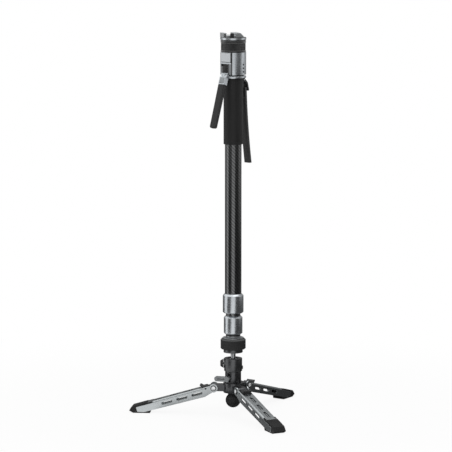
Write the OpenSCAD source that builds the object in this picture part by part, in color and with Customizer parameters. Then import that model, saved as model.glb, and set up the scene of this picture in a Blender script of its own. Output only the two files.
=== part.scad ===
// Camera monopod with a one-hand height release, standing on a ball-jointed base with three folding legs.
// Millimetres, +Z up. The origin is the small flat under the ball foot, on the column's axis.
// The column is shown closed and the legs spread, as in the photograph. -Y faces the viewer.

/* [Fits] */
// radial clearance of a pin or shaft that turns or slides in its hole
run_clear = 0.05; // [0.02:0.01:0.1]
// clearance between faces that pass each other without guiding
pass_clear = 0.4; // [0.3:0.05:0.8]

/* [Tubes] */
// outer radius of the main carbon tube
tube_1_r = 16; // [15:0.5:18]
// wall of every tube
tube_wall = 1.5; // [1.2:0.1:2]
// radial gap between one tube and the next
tube_gap = 0.5; // [0.4:0.1:0.8]
// length of the main tube
tube_1_len = 466; // [440:1:490]
// how much shorter the middle tube is than the main tube
tube_2_short = 8; // [6:0.5:12]
// how much shorter the thin tube is than the middle tube
tube_3_short = 4; // [2:0.5:8]
// length of the guide sleeve near the top of an inner tube
bush_len = 30; // [20:1:40]

/* [Collars] */
// radial build of the upper collar over the main tube
collar_1_build = 4; // [3:0.5:5]
// radial build of the lower collar over the middle tube
collar_2_build = 4; // [3:0.5:5]
// height of the upper collar
collar_1_h = 37.5; // [34:0.5:42]
// height of the lower collar
collar_2_h = 35.5; // [32:0.5:40]
// chamfer at both ends of a collar
collar_chamfer = 3.6; // [2:0.1:3.8]
// depth of the lip that closes a collar under its tube
collar_lip_h = 8; // [6:0.5:10]
// height of the wiper ring in a collar's lip
seal_h = 3; // [2:0.5:4]
// radial depth of the groove that holds the wiper ring
seal_depth = 2; // [1.5:0.1:2.5]
// bare tube left between the two collars
collar_space = 5.5; // [4:0.5:8]

/* [Grip] */
// thickness of the rubber sleeve on the main tube
sleeve_t = 2.5; // [2:0.1:3]
// length of the rubber sleeve
sleeve_len = 126.5; // [100:0.5:140]

/* [Head] */
// radius of the aluminium head
head_r = 24.6; // [24:0.1:26]
// height of the head body
head_h = 42.5; // [40:0.5:46]
// radius of the spigot under the head
spigot_r = 20; // [19.5:0.1:21]
// height of the spigot under the head
spigot_h = 7; // [6.5:0.5:9]
// depth of the main tube in the head
tube_seat = 20.5; // [18:0.5:24]
// height of the bright ring under the head
lower_ring_h = 4; // [3:0.5:5]
// dark groove between the head and its bright ring
ring_groove = 2.5; // [2:0.1:3]
// direction of the control face, in degrees around the column
control_az = 232; // [220:1:240]
// distance of the flat control face from the axis
control_face = 20.5; // [19.5:0.1:21.5]
// width of the push button
button_w = 24; // [20:0.5:25]
// height of the push button
button_h = 18; // [15:0.5:18.5]
// thickness of the push button
button_t = 6; // [5:0.5:6.5]
// how far the push button stands out
button_proud = 2.5; // [2.2:0.1:3]
// width of the slide catch
catch_slide_w = 16; // [14:0.5:16.5]
// height of the slide catch
catch_slide_h = 12.5; // [11:0.5:13]
// sideways place of the slide catch on the control face
catch_slide_off = 5; // [4.5:0.1:5.3]
// travel of the slide catch
catch_slide_travel = 4; // [3:0.5:5]
// thickness of the slide catch
catch_slide_t = 3; // [2:0.1:3]
// height of one grip rib on the slide catch
rib_h = 1.2; // [0.8:0.1:1.6]
// direction of the row of small screws
screw_row_az = 322; // [315:1:330]
// radius of a small screw head
row_screw_r = 1.6; // [1.2:0.1:2]
// spacing of the small screws
row_screw_space = 6.7; // [6:0.1:8]
// how far a small screw head stands out
row_screw_proud = 0.4; // [0.2:0.1:0.8]
// length of a small screw
row_screw_len = 6; // [5:0.5:7]

/* [Squeeze lever] */
// distance of the lever's pin from the axis
lever_pin_u = 26; // [25.5:0.1:27]
// drop of the lever's pin below the head body
lever_pin_drop = 1.5; // [1:0.1:2]
// radius of the lever's pin
lever_pin_r = 1.5; // [1.2:0.1:1.8]
// width of the lever
lever_w = 14; // [13:0.5:16]
// width of the lug between the lever's two cheeks
lug_w = 6; // [5:0.5:7]
// radius of a lug around its pin
lug_r = 3.5; // [3.3:0.1:3.8]
// angle of the lever from the column at rest
lever_lean = 20; // [18:0.5:22]
// thickness of the lever's metal arm
arm_t = 9.5; // [8:0.5:10]
// length of the metal arm below its pin
arm_len = 18; // [15:0.5:20]
// thickness of the black handle in the middle
grip_t = 8.5; // [8:0.5:9]
// length of the black handle
grip_len = 85; // [78:1:92]
// bow of the handle's outer face
grip_bow = 1; // [0.5:0.1:2]
// step of the handle out of the metal arm
grip_step = 1.5; // [1:0.1:2]

/* [Palm bar] */
// outer distance of the palm bar from the axis at its top
palm_u_top = 33; // [32:0.1:34]
// outer distance of the palm bar from the axis at its tail
palm_u_tail = 49.5; // [46:0.5:52]
// length of the palm bar
palm_len = 167; // [150:1:180]
// hollow of the palm bar's curve
palm_sag = 3; // [2:0.5:4]
// thickness of the palm bar
palm_t = 5.5; // [5:0.1:6]
// width of the palm bar
palm_w = 13.5; // [12:0.5:15]
// height of the web that hangs the palm bar from the bright ring
palm_web_h = 20; // [19:0.5:22]
// width of that web
palm_web_w = 6; // [5:0.5:6.5]
// distance of the latch's pin from the axis
latch_pin_u = 27; // [26.8:0.1:27.5]
// drop of the latch's pin below the bright ring
latch_pin_drop = 5; // [4.5:0.1:5.5]
// length of the thumb latch below its pin
latch_len = 24.5; // [22:0.5:26]
// thickness of the thumb latch
latch_t = 3; // [2.5:0.1:3.2]
// step from the latch's sides to the ends of its pivot barrel
latch_step = 1; // [0.6:0.1:1.4]
// angle of the thumb latch from the column at rest
latch_lean = 16; // [15:0.5:18]
// reach of the thumb latch's outer face past its pin
latch_reach = 8; // [7.8:0.1:8.6]
// drop of the thumb latch's shoulder below its pin
latch_shoulder = 8.6; // [8:0.1:9.5]

/* [Quick release] */
// radius of the post inside the turning ring
post_r = 17; // [15:0.5:18]
// height of the turning ring's space
post_h = 24; // [20:0.5:28]
// radius of the rubber turning ring
turn_ring_r = 24.3; // [23:0.1:25]
// radius of the clamp's round base
clamp_r = 24.8; // [24:0.1:26]
// height of the clamp's round base
clamp_h = 4; // [3.6:0.1:6]
// turn of the clamp's slot from front to back
slot_yaw = 16; // [10:1:20]
// length of the jaws along the slot
jaw_len = 28; // [24:1:30]
// height of the jaws
jaw_h = 9; // [8.5:0.1:11]
// width of the slot between the jaws' lips
slot_lip = 15; // [14:0.1:17]
// depth of the slot between the jaws
slot_depth = 4.5; // [4.2:0.1:5.5]
// distance of the fixed lip past the column's axis
fixed_lip_u = 1.7; // [1:0.1:2.5]
// width of the fixed jaw at its foot
fixed_jaw_w = 18.5; // [16:0.5:20]
// sideways run of the fixed jaw's sloped back
back_slope_u = 6.5; // [4:0.5:8]
// height left upright at the foot of the fixed jaw
back_foot_h = 2.5; // [2:0.5:4]
// thickness of the sliding jaw
slide_jaw_w = 5.8; // [5.2:0.1:7]
// undercut of each jaw
undercut = 2.4; // [1.5:0.1:2.8]
// height of a jaw's lip
lip_h = 1.4; // [1:0.1:1.6]
// width of the black stop at the slot's near end
plate_stop_w = 7; // [5:0.5:8]
// thickness of that stop along the slot
plate_stop_t = 3; // [2:0.5:4]
// distance of that stop from the fixed lip
plate_stop_in = 1.6; // [0.5:0.1:3]
// drop of that stop's top below the jaws' top
plate_stop_drop = 0.5; // [0.3:0.1:1.5]
// width of the sliding jaw's foot in its groove
jaw_foot_w = 8; // [6:0.5:10]
// depth of the groove for the sliding jaw's foot
jaw_foot_h = 3; // [2.5:0.1:3.2]
// reach of the sliding jaw's foot under the slot
jaw_foot_reach = 5; // [4:0.5:6]

/* [Release rod] */
// radius of the rod that releases the tubes
rod_r = 2; // [1.5:0.1:2.5]
// length of the rod
rod_len = 38; // [34:1:42]
// length of the rod held in the head
rod_seat = 14; // [12:0.5:16]
// travel of the rod
rod_travel = 3; // [2:0.5:4]

/* [Foot] */
// radius of the rubber ball foot
foot_ball_r = 14.6; // [13:0.1:15]
// radius of the flat under the ball foot
foot_flat_r = 3.4; // [3:0.1:4.5]
// height of the ball foot with its neck
foot_h = 30; // [28:0.5:32]
// radius of the ball foot's neck
foot_neck_r = 10; // [9:0.1:11]
// radius of the stud in the ball foot
stud_r = 5; // [4:0.1:6]
// depth of the stud in the ball foot
stud_len = 18; // [14:0.5:20]

/* [Base] */
// radius of the leg hub
hub_r = 19; // [18:0.5:20]
// height of the leg hub
hub_h = 19; // [18:0.5:20]
// radius of the well in the leg hub
well_r = 9; // [8.5:0.1:10]
// depth of the well in the leg hub
well_h = 12; // [11:0.5:13]
// radius of the pan cylinder
pan_r = 15.5; // [14.5:0.1:16.5]
// height of the pan cylinder
pan_h = 23; // [21:0.5:25]
// radius of the pan spigot
pan_spigot_r = 8; // [7:0.1:9]
// depth of the pan spigot
pan_spigot_h = 18; // [16:0.5:19]
// radius of the pan bolt
pan_bolt_r = 4; // [3:0.1:5]
// radius of the pan bolt's head
pan_head_r = 7.5; // [6.5:0.1:8]
// height of the pan bolt's head
pan_head_h = 5; // [4:0.5:6]
// depth of the pan bolt in the spigot
pan_bolt_grip = 12; // [10:0.5:14]
// thickness of the thrust washer
thrust_t = 0.5; // [0.5:0.1:1]
// outer radius of the thrust washer
thrust_r = 13; // [12:0.5:14]
// direction of the pan lock
pan_lock_az = 238; // [234:1:242]
// height of the pan lock above the hub
pan_lock_rise = 10; // [9:0.5:11]
// radius of the pan lock's screw
pan_lock_screw_r = 2.5; // [2:0.1:3]
// width of the recess behind the pan lock
lock_recess_w = 7.5; // [6:0.5:9]
// depth of that recess
lock_recess_t = 3; // [2:0.5:4]
// solid wall left over and under that recess
lock_recess_edge = 3; // [2:0.5:4]
// radius of the pan lock's hub
wing_hub_r = 5.5; // [5:0.1:6]
// length of the pan lock's hub
wing_hub_len = 9; // [8:0.5:10]
// outward turn of the pan lock's paddle
wing_crank = 15; // [12:1:20]
// reach of the pan lock's paddle
wing_len = 25; // [22:0.5:27]
// half height of the pan lock's paddle
wing_r = 5; // [4:0.1:5.4]
// thickness of the pan lock's paddle
wing_t = 4; // [3:0.1:5]

/* [Ball joint] */
// radius of the ball housing
house_r = 17.5; // [17:0.1:18.5]
// height of the ball housing
house_h = 24.5; // [24:0.5:26]
// height of the ball's centre in its housing
ball_rise = 14.2; // [14.2:0.1:15]
// radius of the steel ball
ball_r = 11.2; // [11:0.1:11.4]
// thickness of the plastic liner around the ball
liner_t = 1.1; // [0.9:0.1:1.3]
// radial play on each side of the liner
liner_clear = 0.1; // [0.05:0.01:0.1]
// opening angle of the liner from the vertical
liner_open = 62; // [60:1:66]
// radius of the neck above the ball
neck_r = 4.75; // [4.3:0.05:4.8]
// length of the neck from the ball's centre to the adapter
neck_len = 22.3; // [22:0.1:26]
// radius of the retaining ring's throat
throat_r = 10.2; // [10.1:0.1:10.4]
// radius of the retaining ring's flare at the top
flare_r = 12.4; // [12.3:0.1:13]
// radius of the retaining ring
retainer_r = 14.8; // [14.5:0.1:15.2]
// radius of the tension knob at the housing
knob_r = 8.8; // [7.5:0.1:9]
// radius of the tension knob's outer face
knob_face_r = 5.4; // [5:0.1:7]
// thickness of the tension knob
knob_t = 5.8; // [5:0.1:8]
// radius of the tension screw
tension_r = 2; // [1.5:0.1:2.5]
// height of the boss under the tension knob
boss_h = 1.2; // [1:0.1:2]
// radius of the boss under the tension knob
boss_r = 9.2; // [8:0.1:9.5]
// radius of that boss at its foot inside the housing
boss_foot_r = 10.2; // [9.6:0.1:10.2]
// radius of the cap screw on the other side
cap_screw_r = 3.4; // [3:0.1:3.8]
// drop of the cap screw below the ball's centre
cap_screw_drop = 8; // [7.5:0.1:9]
// how far the cap screw stands out
cap_screw_proud = 1.6; // [1:0.1:3]
// depth of the cap screw in the housing
cap_screw_depth = 2; // [1.5:0.1:2.4]

/* [Column seat] */
// radius of the adapter flange over the ball
adapter_r = 18.5; // [17:0.1:19]
// height of the adapter flange
adapter_h = 6.5; // [6:0.5:8]
// length of the adapter inside the thin tube
adapter_seat = 26; // [20:1:30]
// length of the ball's thread in the adapter
thread_len = 9; // [7:0.5:12]
// radius of the ball's thread
thread_r = 4; // [3:0.1:4.2]
// radius of the knurled lock ring
lock_ring_r = 24.3; // [23:0.1:25]
// height of the knurled lock ring
lock_ring_h = 20.4; // [18:0.1:22]
// chamfer at the lock ring's top, twice the one below
lock_chamfer = 2.6; // [2:0.1:3]
// thickness of the bright washer over the lock ring
washer_t = 1.2; // [0.8:0.1:2]
// radius of the bright washer
washer_r = 20.5; // [19:0.1:22]
// height of the stop sleeve
stop_h = 7; // [6:0.5:9]
// radius of the stop sleeve
stop_r = 14; // [13.5:0.1:15]
// gap left between the stop sleeve and the lower collar
stop_gap = 0.5; // [0.3:0.1:1]

/* [Tube locks] */
// height of a lock's core plug
core_h = 15; // [12:0.5:18]
// radius of a lock's core stem
core_stem_r = 5; // [4:0.1:6]
// height of a lock's shoes
shoe_h = 16; // [12:0.5:18]
// angle of one lock shoe
shoe_angle = 100; // [90:1:110]

/* [Legs] */
// direction of the first leg
leg_az = 175.7; // [170:0.1:180]
// distance of a leg's hinge from the axis
hinge_u = 37.5; // [36.5:0.1:38.5]
// height of a leg's hinge above the hub's underside
hinge_rise = 9; // [8.5:0.1:10]
// radius of a leg's hinge pin
hinge_pin_r = 3; // [2.5:0.1:3.5]
// how far a hinge pin's head stands out
pin_head_t = 1; // [0.8:0.1:1.5]
// radius of a hinge pin's head
pin_head_r = 4.2; // [3.8:0.1:5]
// radius of the hub's lug around a hinge
hub_lug_r = 6.2; // [5.8:0.1:7]
// slope of a spread leg
leg_slope = 16; // [15.5:0.1:16.5]
// length of a leg from its hinge
leg_len = 156; // [150:1:158]
// width of a leg
leg_w = 25; // [23:0.5:26]
// thickness of a leg's walls
leg_wall = 2.5; // [2:0.1:3]
// radius of a leg's round end at its hinge
leg_eye_r = 8.3; // [8:0.1:8.6]
// height of a leg's top above its hinge line
leg_top_h = 6; // [5.5:0.1:6.5]
// depth of a leg's belly below its hinge line
leg_belly = 12; // [11.5:0.1:12.5]
// distance of a leg's deepest belly from its hinge
belly_x = 20; // [18:0.5:22]
// depth of a leg's underside where it meets its foot
leg_tail_h = 10; // [9.5:0.1:10.5]
// length of the trimmed corner under a leg's tip
tip_trim = 13; // [12:0.5:14]
// depth of a leg's underside at its tip
leg_tip_h = 6; // [5.5:0.1:6.5]
// rounding of a leg's top edges
leg_corner = 3; // [2:0.1:3.4]
// start of a leg's top plate
plate_start = 26.5; // [26.5:0.5:28]
// length of a slot in a leg
slot_len = 22; // [20:0.5:24]
// half height of a slot in a leg's side
slot_r = 2.6; // [2:0.1:3]
// start of the first slot in a leg's side
slot_start = 23; // [22:0.5:25]
// distance from one slot to the next
slot_pitch = 30.5; // [30:0.5:32]
// depth of a leg's side slots below its hinge line
slot_drop = 3; // [2.5:0.1:3.5]
// start of the first slot in a leg's top
top_slot_start = 39; // [36:0.5:42]
// half width of a slot in a leg's top
top_slot_r = 3.2; // [2.5:0.1:4]

/* [Leg catches] */
// width of a leg catch
catch_w = 17; // [14:0.5:18]
// distance of a catch's pivot from the leg's hinge
catch_pivot_x = 15; // [14.8:0.1:15.2]
// height of a catch's pivot above the leg's middle line
catch_pivot_z = 3; // [2.6:0.1:3.2]
// radius of a catch's pivot pegs
peg_r = 1.6; // [1.3:0.1:1.8]
// distance of a catch's nose from the leg's hinge
nose_x = 8.8; // [8.6:0.1:9.2]
// height of a catch's back
catch_back_z = 8.2; // [7.8:0.1:9]
// distance of a catch's heel from the leg's hinge
heel_x = 21; // [20:0.1:21.4]
// reach of a catch's thumb tab
tab_x = 24.6; // [24:0.1:25]
// height of a catch's thumb tab
tab_z = 12; // [11:0.1:14]
// thickness of a catch's thumb tab
tab_t = 2.4; // [2:0.1:3]

/* [Feet] */
// height of a leg's tip above the floor when the legs are spread
tip_rise = 8; // [7.5:0.1:9]
// run of a foot's flat sole behind the leg's tip
sole_back = 26.5; // [24:0.5:29]
// run of a foot's flat sole past the leg's tip
sole_fore = 6.5; // [4:0.5:8]
// reach of a foot's nose past the leg's tip
nose_fore = 15.5; // [14:0.5:17]
// thickness of the rubber over a leg's top
cap_t = 0.6; // [0.4:0.1:1.2]
// length of a leg covered by its foot
cap_len = 24; // [22:0.5:26]
// height of a foot's blunt nose
nose_h = 15; // [13:0.5:16]

/* [Hidden] */
$fn = 72;
// segments of a very large circle
fine_fn = 1440;
// a cut runs this far past the face that it opens
past = 1;
// tubes, from the outside in
tube_1_bore = tube_1_r - tube_wall;
tube_2_r = tube_1_bore - tube_gap;
tube_2_bore = tube_2_r - tube_wall;
tube_3_r = tube_2_bore - tube_gap;
tube_3_bore = tube_3_r - tube_wall;
// heights, from the foot up
foot_ball_z = sqrt(foot_ball_r * foot_ball_r - foot_flat_r * foot_flat_r);
hub_z = foot_h;
hinge_z = hub_z + hinge_rise;
pan_z = hub_z + hub_h;
house_z = pan_z + pan_h + thrust_t;
ball_z = house_z + ball_rise;
house_top = house_z + house_h;
adapter_z = ball_z + neck_len;
lock_ring_z = adapter_z + adapter_h + pass_clear;
washer_z = lock_ring_z + lock_ring_h + pass_clear;
stop_z = washer_z + washer_t;
tube_3_z = adapter_z + adapter_h;
tube_2_len = tube_1_len - tube_2_short;
tube_3_len = tube_2_len - tube_3_short;
collar_2_z = stop_z + stop_h + stop_gap;
tube_2_z = collar_2_z + collar_lip_h;
collar_1_z = collar_2_z + collar_2_h + collar_space;
tube_1_z = collar_1_z + collar_lip_h;
tube_1_top = tube_1_z + tube_1_len;
tube_2_top = tube_2_z + tube_2_len;
tube_3_top = tube_3_z + tube_3_len;
spigot_z = tube_1_top - tube_seat;
head_z = spigot_z + spigot_h;
head_top = head_z + head_h;
lower_ring_z = head_z - ring_groove - lower_ring_h;
sleeve_z = spigot_z - sleeve_len;
clamp_z = head_top + post_h;
jaw_z = clamp_z + clamp_h;
jaw_top = jaw_z + jaw_h;
rod_top = tube_1_top + rod_seat;
// pins of the lever and of the latch, in their own upright planes
lever_pin_z = head_z - lever_pin_drop;
latch_pin_z = lower_ring_z - latch_pin_drop;
// ball joint
liner_in = ball_r + liner_clear;
liner_out = liner_in + liner_t;
cavity_r = liner_out + liner_clear;
throat_z = sqrt(cavity_r * cavity_r - throat_r * throat_r);
flare_h = house_top - ball_z - throat_z;
flare_past_r = flare_r + (flare_r - throat_r) * past / flare_h;
// the circle of the palm bar's curve
palm_z = lower_ring_z;
palm_chord = sqrt(palm_len * palm_len + (palm_u_tail - palm_u_top) * (palm_u_tail - palm_u_top));
palm_curve = palm_chord * palm_chord / (8 * palm_sag) + palm_sag / 2;
palm_tilt = atan2(palm_u_tail - palm_u_top, palm_len);
// legs
leg_azs = [leg_az, leg_az + 120, leg_az + 240];
leg_in_w = leg_w - 2 * leg_wall;
hub_lug_w = leg_in_w - 2 * pass_clear;
tip_u = hinge_u + leg_len * cos(leg_slope);
floor_z = hinge_z - leg_len * sin(leg_slope) - tip_rise;
foot_w = leg_w - 2 * run_clear;

// metal and rubber colours
c_silver = [0.72, 0.75, 0.78];
c_steel = [0.8, 0.8, 0.82];
c_black = [0.1, 0.1, 0.11];
c_rubber = [0.06, 0.06, 0.065];
c_carbon = [0.14, 0.14, 0.15];
c_grey = [0.5, 0.54, 0.57];
c_nylon = [0.85, 0.84, 0.8];
c_brass = [0.75, 0.6, 0.3];

// a round tube standing at height z
module ring(r_in, r_out, z, h) {
    translate([0, 0, z])
        difference() {
            cylinder(r = r_out, h = h);
            translate([0, 0, -past]) cylinder(r = r_in, h = h + 2 * past);
        }
}

// a flat outline in the upright plane at one direction: x is the distance from the axis, y the height
module upright(az, w) {
    rotate([0, 0, az])
        rotate([90, 0, 0])
            translate([0, 0, -w / 2])
                linear_extrude(height = w) children();
}

// a level rod along one direction, from u0 to u1 from the axis
module spoke(az, z, r, u0, u1, side = 0) {
    rotate([0, 0, az])
        translate([u0, side, z])
            rotate([0, 90, 0]) cylinder(r = r, h = u1 - u0);
}

// a level pin across the upright plane at one direction
module cross_pin(az, u, z, r, len) {
    rotate([0, 0, az])
        translate([u, len / 2, z])
            rotate([90, 0, 0]) cylinder(r = r, h = len);
}

// a block on the upright plane at one direction, from u0 to u1 and from z0 up
module block(az, u0, u1, side, w, z0, h) {
    rotate([0, 0, az])
        translate([u0, side - w / 2, z0]) cube([u1 - u0, w, h]);
}

// a slot outline from x0, with round ends
module capsule(x0, len, r) {
    translate([x0 + r, 0]) circle(r = r);
    translate([x0 + len - r, 0]) circle(r = r);
    translate([x0 + r, -r]) square([len - 2 * r, 2 * r]);
}

// Base: a hub with three lugs, the pan cylinder on it and the ball foot under it.

module leg_hub() {
    color(c_black)
        difference() {
            union() {
                translate([0, 0, hub_z]) cylinder(r = hub_r, h = hub_h);
                for (az = leg_azs)
                    upright(az, hub_lug_w) {
                        translate([hinge_u, hinge_z]) circle(r = hub_lug_r);
                        translate([well_r, hinge_z - hub_lug_r]) square([hinge_u - well_r, 2 * hub_lug_r]);
                    }
            }
            translate([0, 0, hub_z - past]) cylinder(r = well_r, h = well_h + past);
            translate([0, 0, hub_z]) cylinder(r = pan_bolt_r + run_clear, h = hub_h + past);
            for (az = leg_azs) cross_pin(az, hinge_u, hinge_z, hinge_pin_r, leg_w);
        }
}

module pan_socket() {
    color(c_black)
        difference() {
            translate([0, 0, pan_z]) cylinder(r = pan_r, h = pan_h);
            translate([0, 0, pan_z - past]) cylinder(r = pan_bolt_r + run_clear, h = pan_h + 2 * past);
            translate([0, 0, pan_z + pan_h + thrust_t - pan_spigot_h - pass_clear])
                cylinder(r = pan_spigot_r + run_clear, h = pan_spigot_h + past);
            spoke(pan_lock_az, pan_z + pan_lock_rise, pan_lock_screw_r + run_clear, 0, pan_r + past);
            block(pan_lock_az, pan_r - lock_recess_t, pan_r + past, 0, lock_recess_w,
                pan_z + lock_recess_edge, pan_h - 2 * lock_recess_edge);
        }
}

module ball_foot() {
    color(c_rubber)
        difference() {
            union() {
                translate([0, 0, foot_ball_z]) sphere(r = foot_ball_r);
                translate([0, 0, foot_ball_z]) cylinder(r = foot_neck_r, h = foot_h - foot_ball_z);
            }
            translate([-foot_ball_r, -foot_ball_r, -2 * foot_ball_r])
                cube([2 * foot_ball_r, 2 * foot_ball_r, 2 * foot_ball_r]);
            translate([0, 0, foot_h - stud_len]) cylinder(r = stud_r, h = stud_len + past);
        }
}

module foot_stud() {
    color(c_steel) {
        translate([0, 0, foot_h - stud_len]) cylinder(r = stud_r, h = stud_len);
        translate([0, 0, hub_z]) cylinder(r = well_r, h = well_h - pan_head_h - 2 * pass_clear);
    }
}

module leg_pins() {
    head_at = leg_w / 2 + pass_clear;
    color(c_steel)
        for (az = leg_azs) {
            cross_pin(az, hinge_u, hinge_z, hinge_pin_r, 2 * head_at);
            for (side = [-1, 1])
                rotate([0, 0, az])
                    translate([hinge_u, side * (head_at + pin_head_t / 2), hinge_z])
                        rotate([90, 0, 0]) cylinder(r = pin_head_r, h = pin_head_t, center = true);
        }
}

module thrust_washer() {
    color(c_nylon) ring(pan_spigot_r + pass_clear, thrust_r, pan_z + pan_h, thrust_t);
}

// Legs: pressed channels open below, each with a rubber foot and a sprung catch.

module leg_frame(az) {
    rotate([0, 0, az])
        translate([hinge_u, 0, hinge_z])
            rotate([0, leg_slope, 0]) children();
}

module leg_section() {
    bevel = leg_corner / 2;
    edge = leg_w / 2;
    difference() {
        polygon([[-edge, -leg_belly], [edge, -leg_belly], [edge, leg_top_h - leg_corner],
            [edge - bevel / 2, leg_top_h - bevel], [edge - bevel, leg_top_h - bevel / 2],
            [edge - leg_corner, leg_top_h], [leg_corner - edge, leg_top_h],
            [bevel - edge, leg_top_h - bevel / 2], [bevel / 2 - edge, leg_top_h - bevel],
            [-edge, leg_top_h - leg_corner]]);
        translate([-leg_in_w / 2, -leg_belly - past])
            square([leg_in_w, leg_belly + leg_top_h - leg_wall + past]);
    }
}

module leg_shell() {
    difference() {
        union() {
            intersection() {
                rotate([90, 0, 90]) linear_extrude(height = leg_len) leg_section();
                upright(0, leg_w)
                    polygon([[0, leg_top_h], [leg_len, leg_top_h], [leg_len, -leg_tip_h],
                        [leg_len - tip_trim, -leg_tail_h], [belly_x, -leg_belly], [0, -leg_top_h]]);
            }
            cross_pin(0, 0, 0, leg_eye_r, leg_w);
        }
        translate([-leg_eye_r - past, -leg_in_w / 2, -leg_belly - past])
            cube([plate_start + leg_eye_r + past, leg_in_w, leg_belly + leg_eye_r + 2 * past]);
    }
}

module leg(az) {
    color(c_grey)
        leg_frame(az)
            difference() {
                leg_shell();
                cross_pin(0, 0, 0, hinge_pin_r + run_clear, leg_w + past);
                cross_pin(0, catch_pivot_x, catch_pivot_z, peg_r + run_clear, leg_w + past);
                for (i = [0, 1, 2])
                    upright(0, leg_w + past)
                        translate([0, -slot_drop]) capsule(slot_start + i * slot_pitch, slot_len, slot_r);
                for (i = [0, 1, 2])
                    linear_extrude(height = leg_top_h + past)
                        capsule(top_slot_start + i * slot_pitch, slot_len, top_slot_r);
            }
}

module foot(az) {
    cap_top = leg_top_h + cap_t;
    cap_in = leg_len - cap_len;
    sole_in = tip_u - sole_back;
    nose_u = tip_u + nose_fore;
    heel_u = sole_in - nose_h / 3;
    toe_u = nose_u - nose_h / 3;
    far_x = leg_len + cap_len;
    color(c_rubber)
        difference() {
            rotate([0, 0, az])
                intersection() {
                    upright(0, foot_w)
                        polygon([[sole_in, floor_z], [tip_u + sole_fore, floor_z],
                            [nose_u, floor_z + nose_h / 3], [nose_u, floor_z + 2 * nose_h / 3],
                            [toe_u, floor_z + nose_h], [toe_u, hinge_z], [heel_u, hinge_z],
                            [heel_u, floor_z + nose_h]]);
                    leg_frame(0)
                        upright(0, leg_w)
                            polygon([[cap_in, cap_top], [leg_len + leg_top_h, cap_top], [far_x, -leg_top_h],
                                [far_x, -leg_len], [leg_eye_r, -leg_len], [leg_eye_r, leg_top_h],
                                [cap_in, leg_top_h]]);
                }
            leg_frame(az) leg_shell();
        }
}

module leg_catch(az) {
    color(c_black)
        leg_frame(az) {
            upright(0, catch_w)
                polygon([[nose_x, peg_r / 2], [nose_x, catch_back_z - catch_pivot_z],
                    [nose_x + catch_pivot_z, catch_back_z], [heel_x - tab_t, catch_back_z],
                    [tab_x - tab_t, tab_z], [tab_x, tab_z], [heel_x, catch_pivot_z],
                    [catch_pivot_x + catch_pivot_z, peg_r / 2]]);
            cross_pin(0, catch_pivot_x, catch_pivot_z, peg_r, leg_w);
        }
}

module leg_left() {
    leg(leg_azs[0]);
}

module leg_front() {
    leg(leg_azs[1]);
}

module leg_right() {
    leg(leg_azs[2]);
}

module foot_left() {
    foot(leg_azs[0]);
}

module foot_front() {
    foot(leg_azs[1]);
}

module foot_right() {
    foot(leg_azs[2]);
}

module catch_left() {
    leg_catch(leg_azs[0]);
}

module catch_front() {
    leg_catch(leg_azs[1]);
}

module catch_right() {
    leg_catch(leg_azs[2]);
}

// Pan lock: a winged lever on a screw that grips the pan spigot.

module pan_lock_lever() {
    hub_u = pan_r + pass_clear;
    color(c_grey)
        difference() {
            union() {
                spoke(pan_lock_az, pan_z + pan_lock_rise, wing_hub_r, hub_u, hub_u + wing_hub_len);
                rotate([0, 0, pan_lock_az])
                    translate([hub_u + wing_hub_len - wing_t / 2, 0, pan_z + pan_lock_rise])
                        rotate([0, 0, wing_crank - 90])
                            rotate([90, 0, 0])
                                translate([0, 0, -wing_t / 2])
                                    linear_extrude(height = wing_t)
                                        capsule(-wing_r, wing_len + wing_r, wing_r);
            }
            spoke(pan_lock_az, pan_z + pan_lock_rise, pan_lock_screw_r, 0, hub_u + wing_hub_len - wing_t);
        }
}

module pan_lock_screw() {
    color(c_steel)
        spoke(pan_lock_az, pan_z + pan_lock_rise, pan_lock_screw_r, pan_spigot_r + pass_clear,
            pan_r + pass_clear + wing_hub_len - wing_t);
}

// Ball joint: a panning housing with a lined socket, and a ball stud that carries the column.

module ball_housing() {
    color(c_black)
        difference() {
            union() {
                translate([0, 0, house_z]) cylinder(r = house_r, h = house_h);
                translate([0, 0, house_z - pan_spigot_h]) cylinder(r = pan_spigot_r, h = pan_spigot_h);
                translate([-house_r / 2, 0, ball_z])
                    rotate([0, -90, 0])
                        cylinder(r1 = boss_foot_r, r2 = boss_r, h = house_r / 2 + boss_h);
            }
            translate([0, 0, ball_z]) sphere(r = cavity_r);
            translate([0, 0, ball_z]) cylinder(r = retainer_r, h = house_h);
            translate([0, 0, house_z - pan_spigot_h - past])
                cylinder(r = pan_bolt_r, h = pan_bolt_grip + past);
            spoke(180, ball_z, tension_r + run_clear, 0, house_r + boss_h + past);
            spoke(0, ball_z - cap_screw_drop, cap_screw_r, house_r - cap_screw_depth, house_r + past);
        }
}

module ball_retainer() {
    color(c_black)
        difference() {
            translate([0, 0, ball_z]) cylinder(r = retainer_r, h = house_top - ball_z);
            translate([0, 0, ball_z]) sphere(r = cavity_r);
            translate([0, 0, ball_z + throat_z])
                cylinder(r1 = throat_r, r2 = flare_past_r, h = flare_h + past);
            translate([0, 0, ball_z]) cylinder(r = throat_r, h = throat_z);
            spoke(180, ball_z, tension_r + run_clear, 0, house_r);
        }
}

module pan_bolt() {
    head_top_z = hub_z + well_h - pass_clear;
    bolt_top_z = house_z - pan_spigot_h + pan_bolt_grip;
    color(c_steel) {
        translate([0, 0, head_top_z]) cylinder(r = pan_bolt_r, h = bolt_top_z - head_top_z);
        translate([0, 0, head_top_z - pan_head_h]) cylinder(r = pan_head_r, h = pan_head_h);
    }
}

module housing_screw() {
    color(c_steel)
        spoke(0, ball_z - cap_screw_drop, cap_screw_r, house_r - cap_screw_depth,
            house_r + cap_screw_proud);
}

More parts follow.
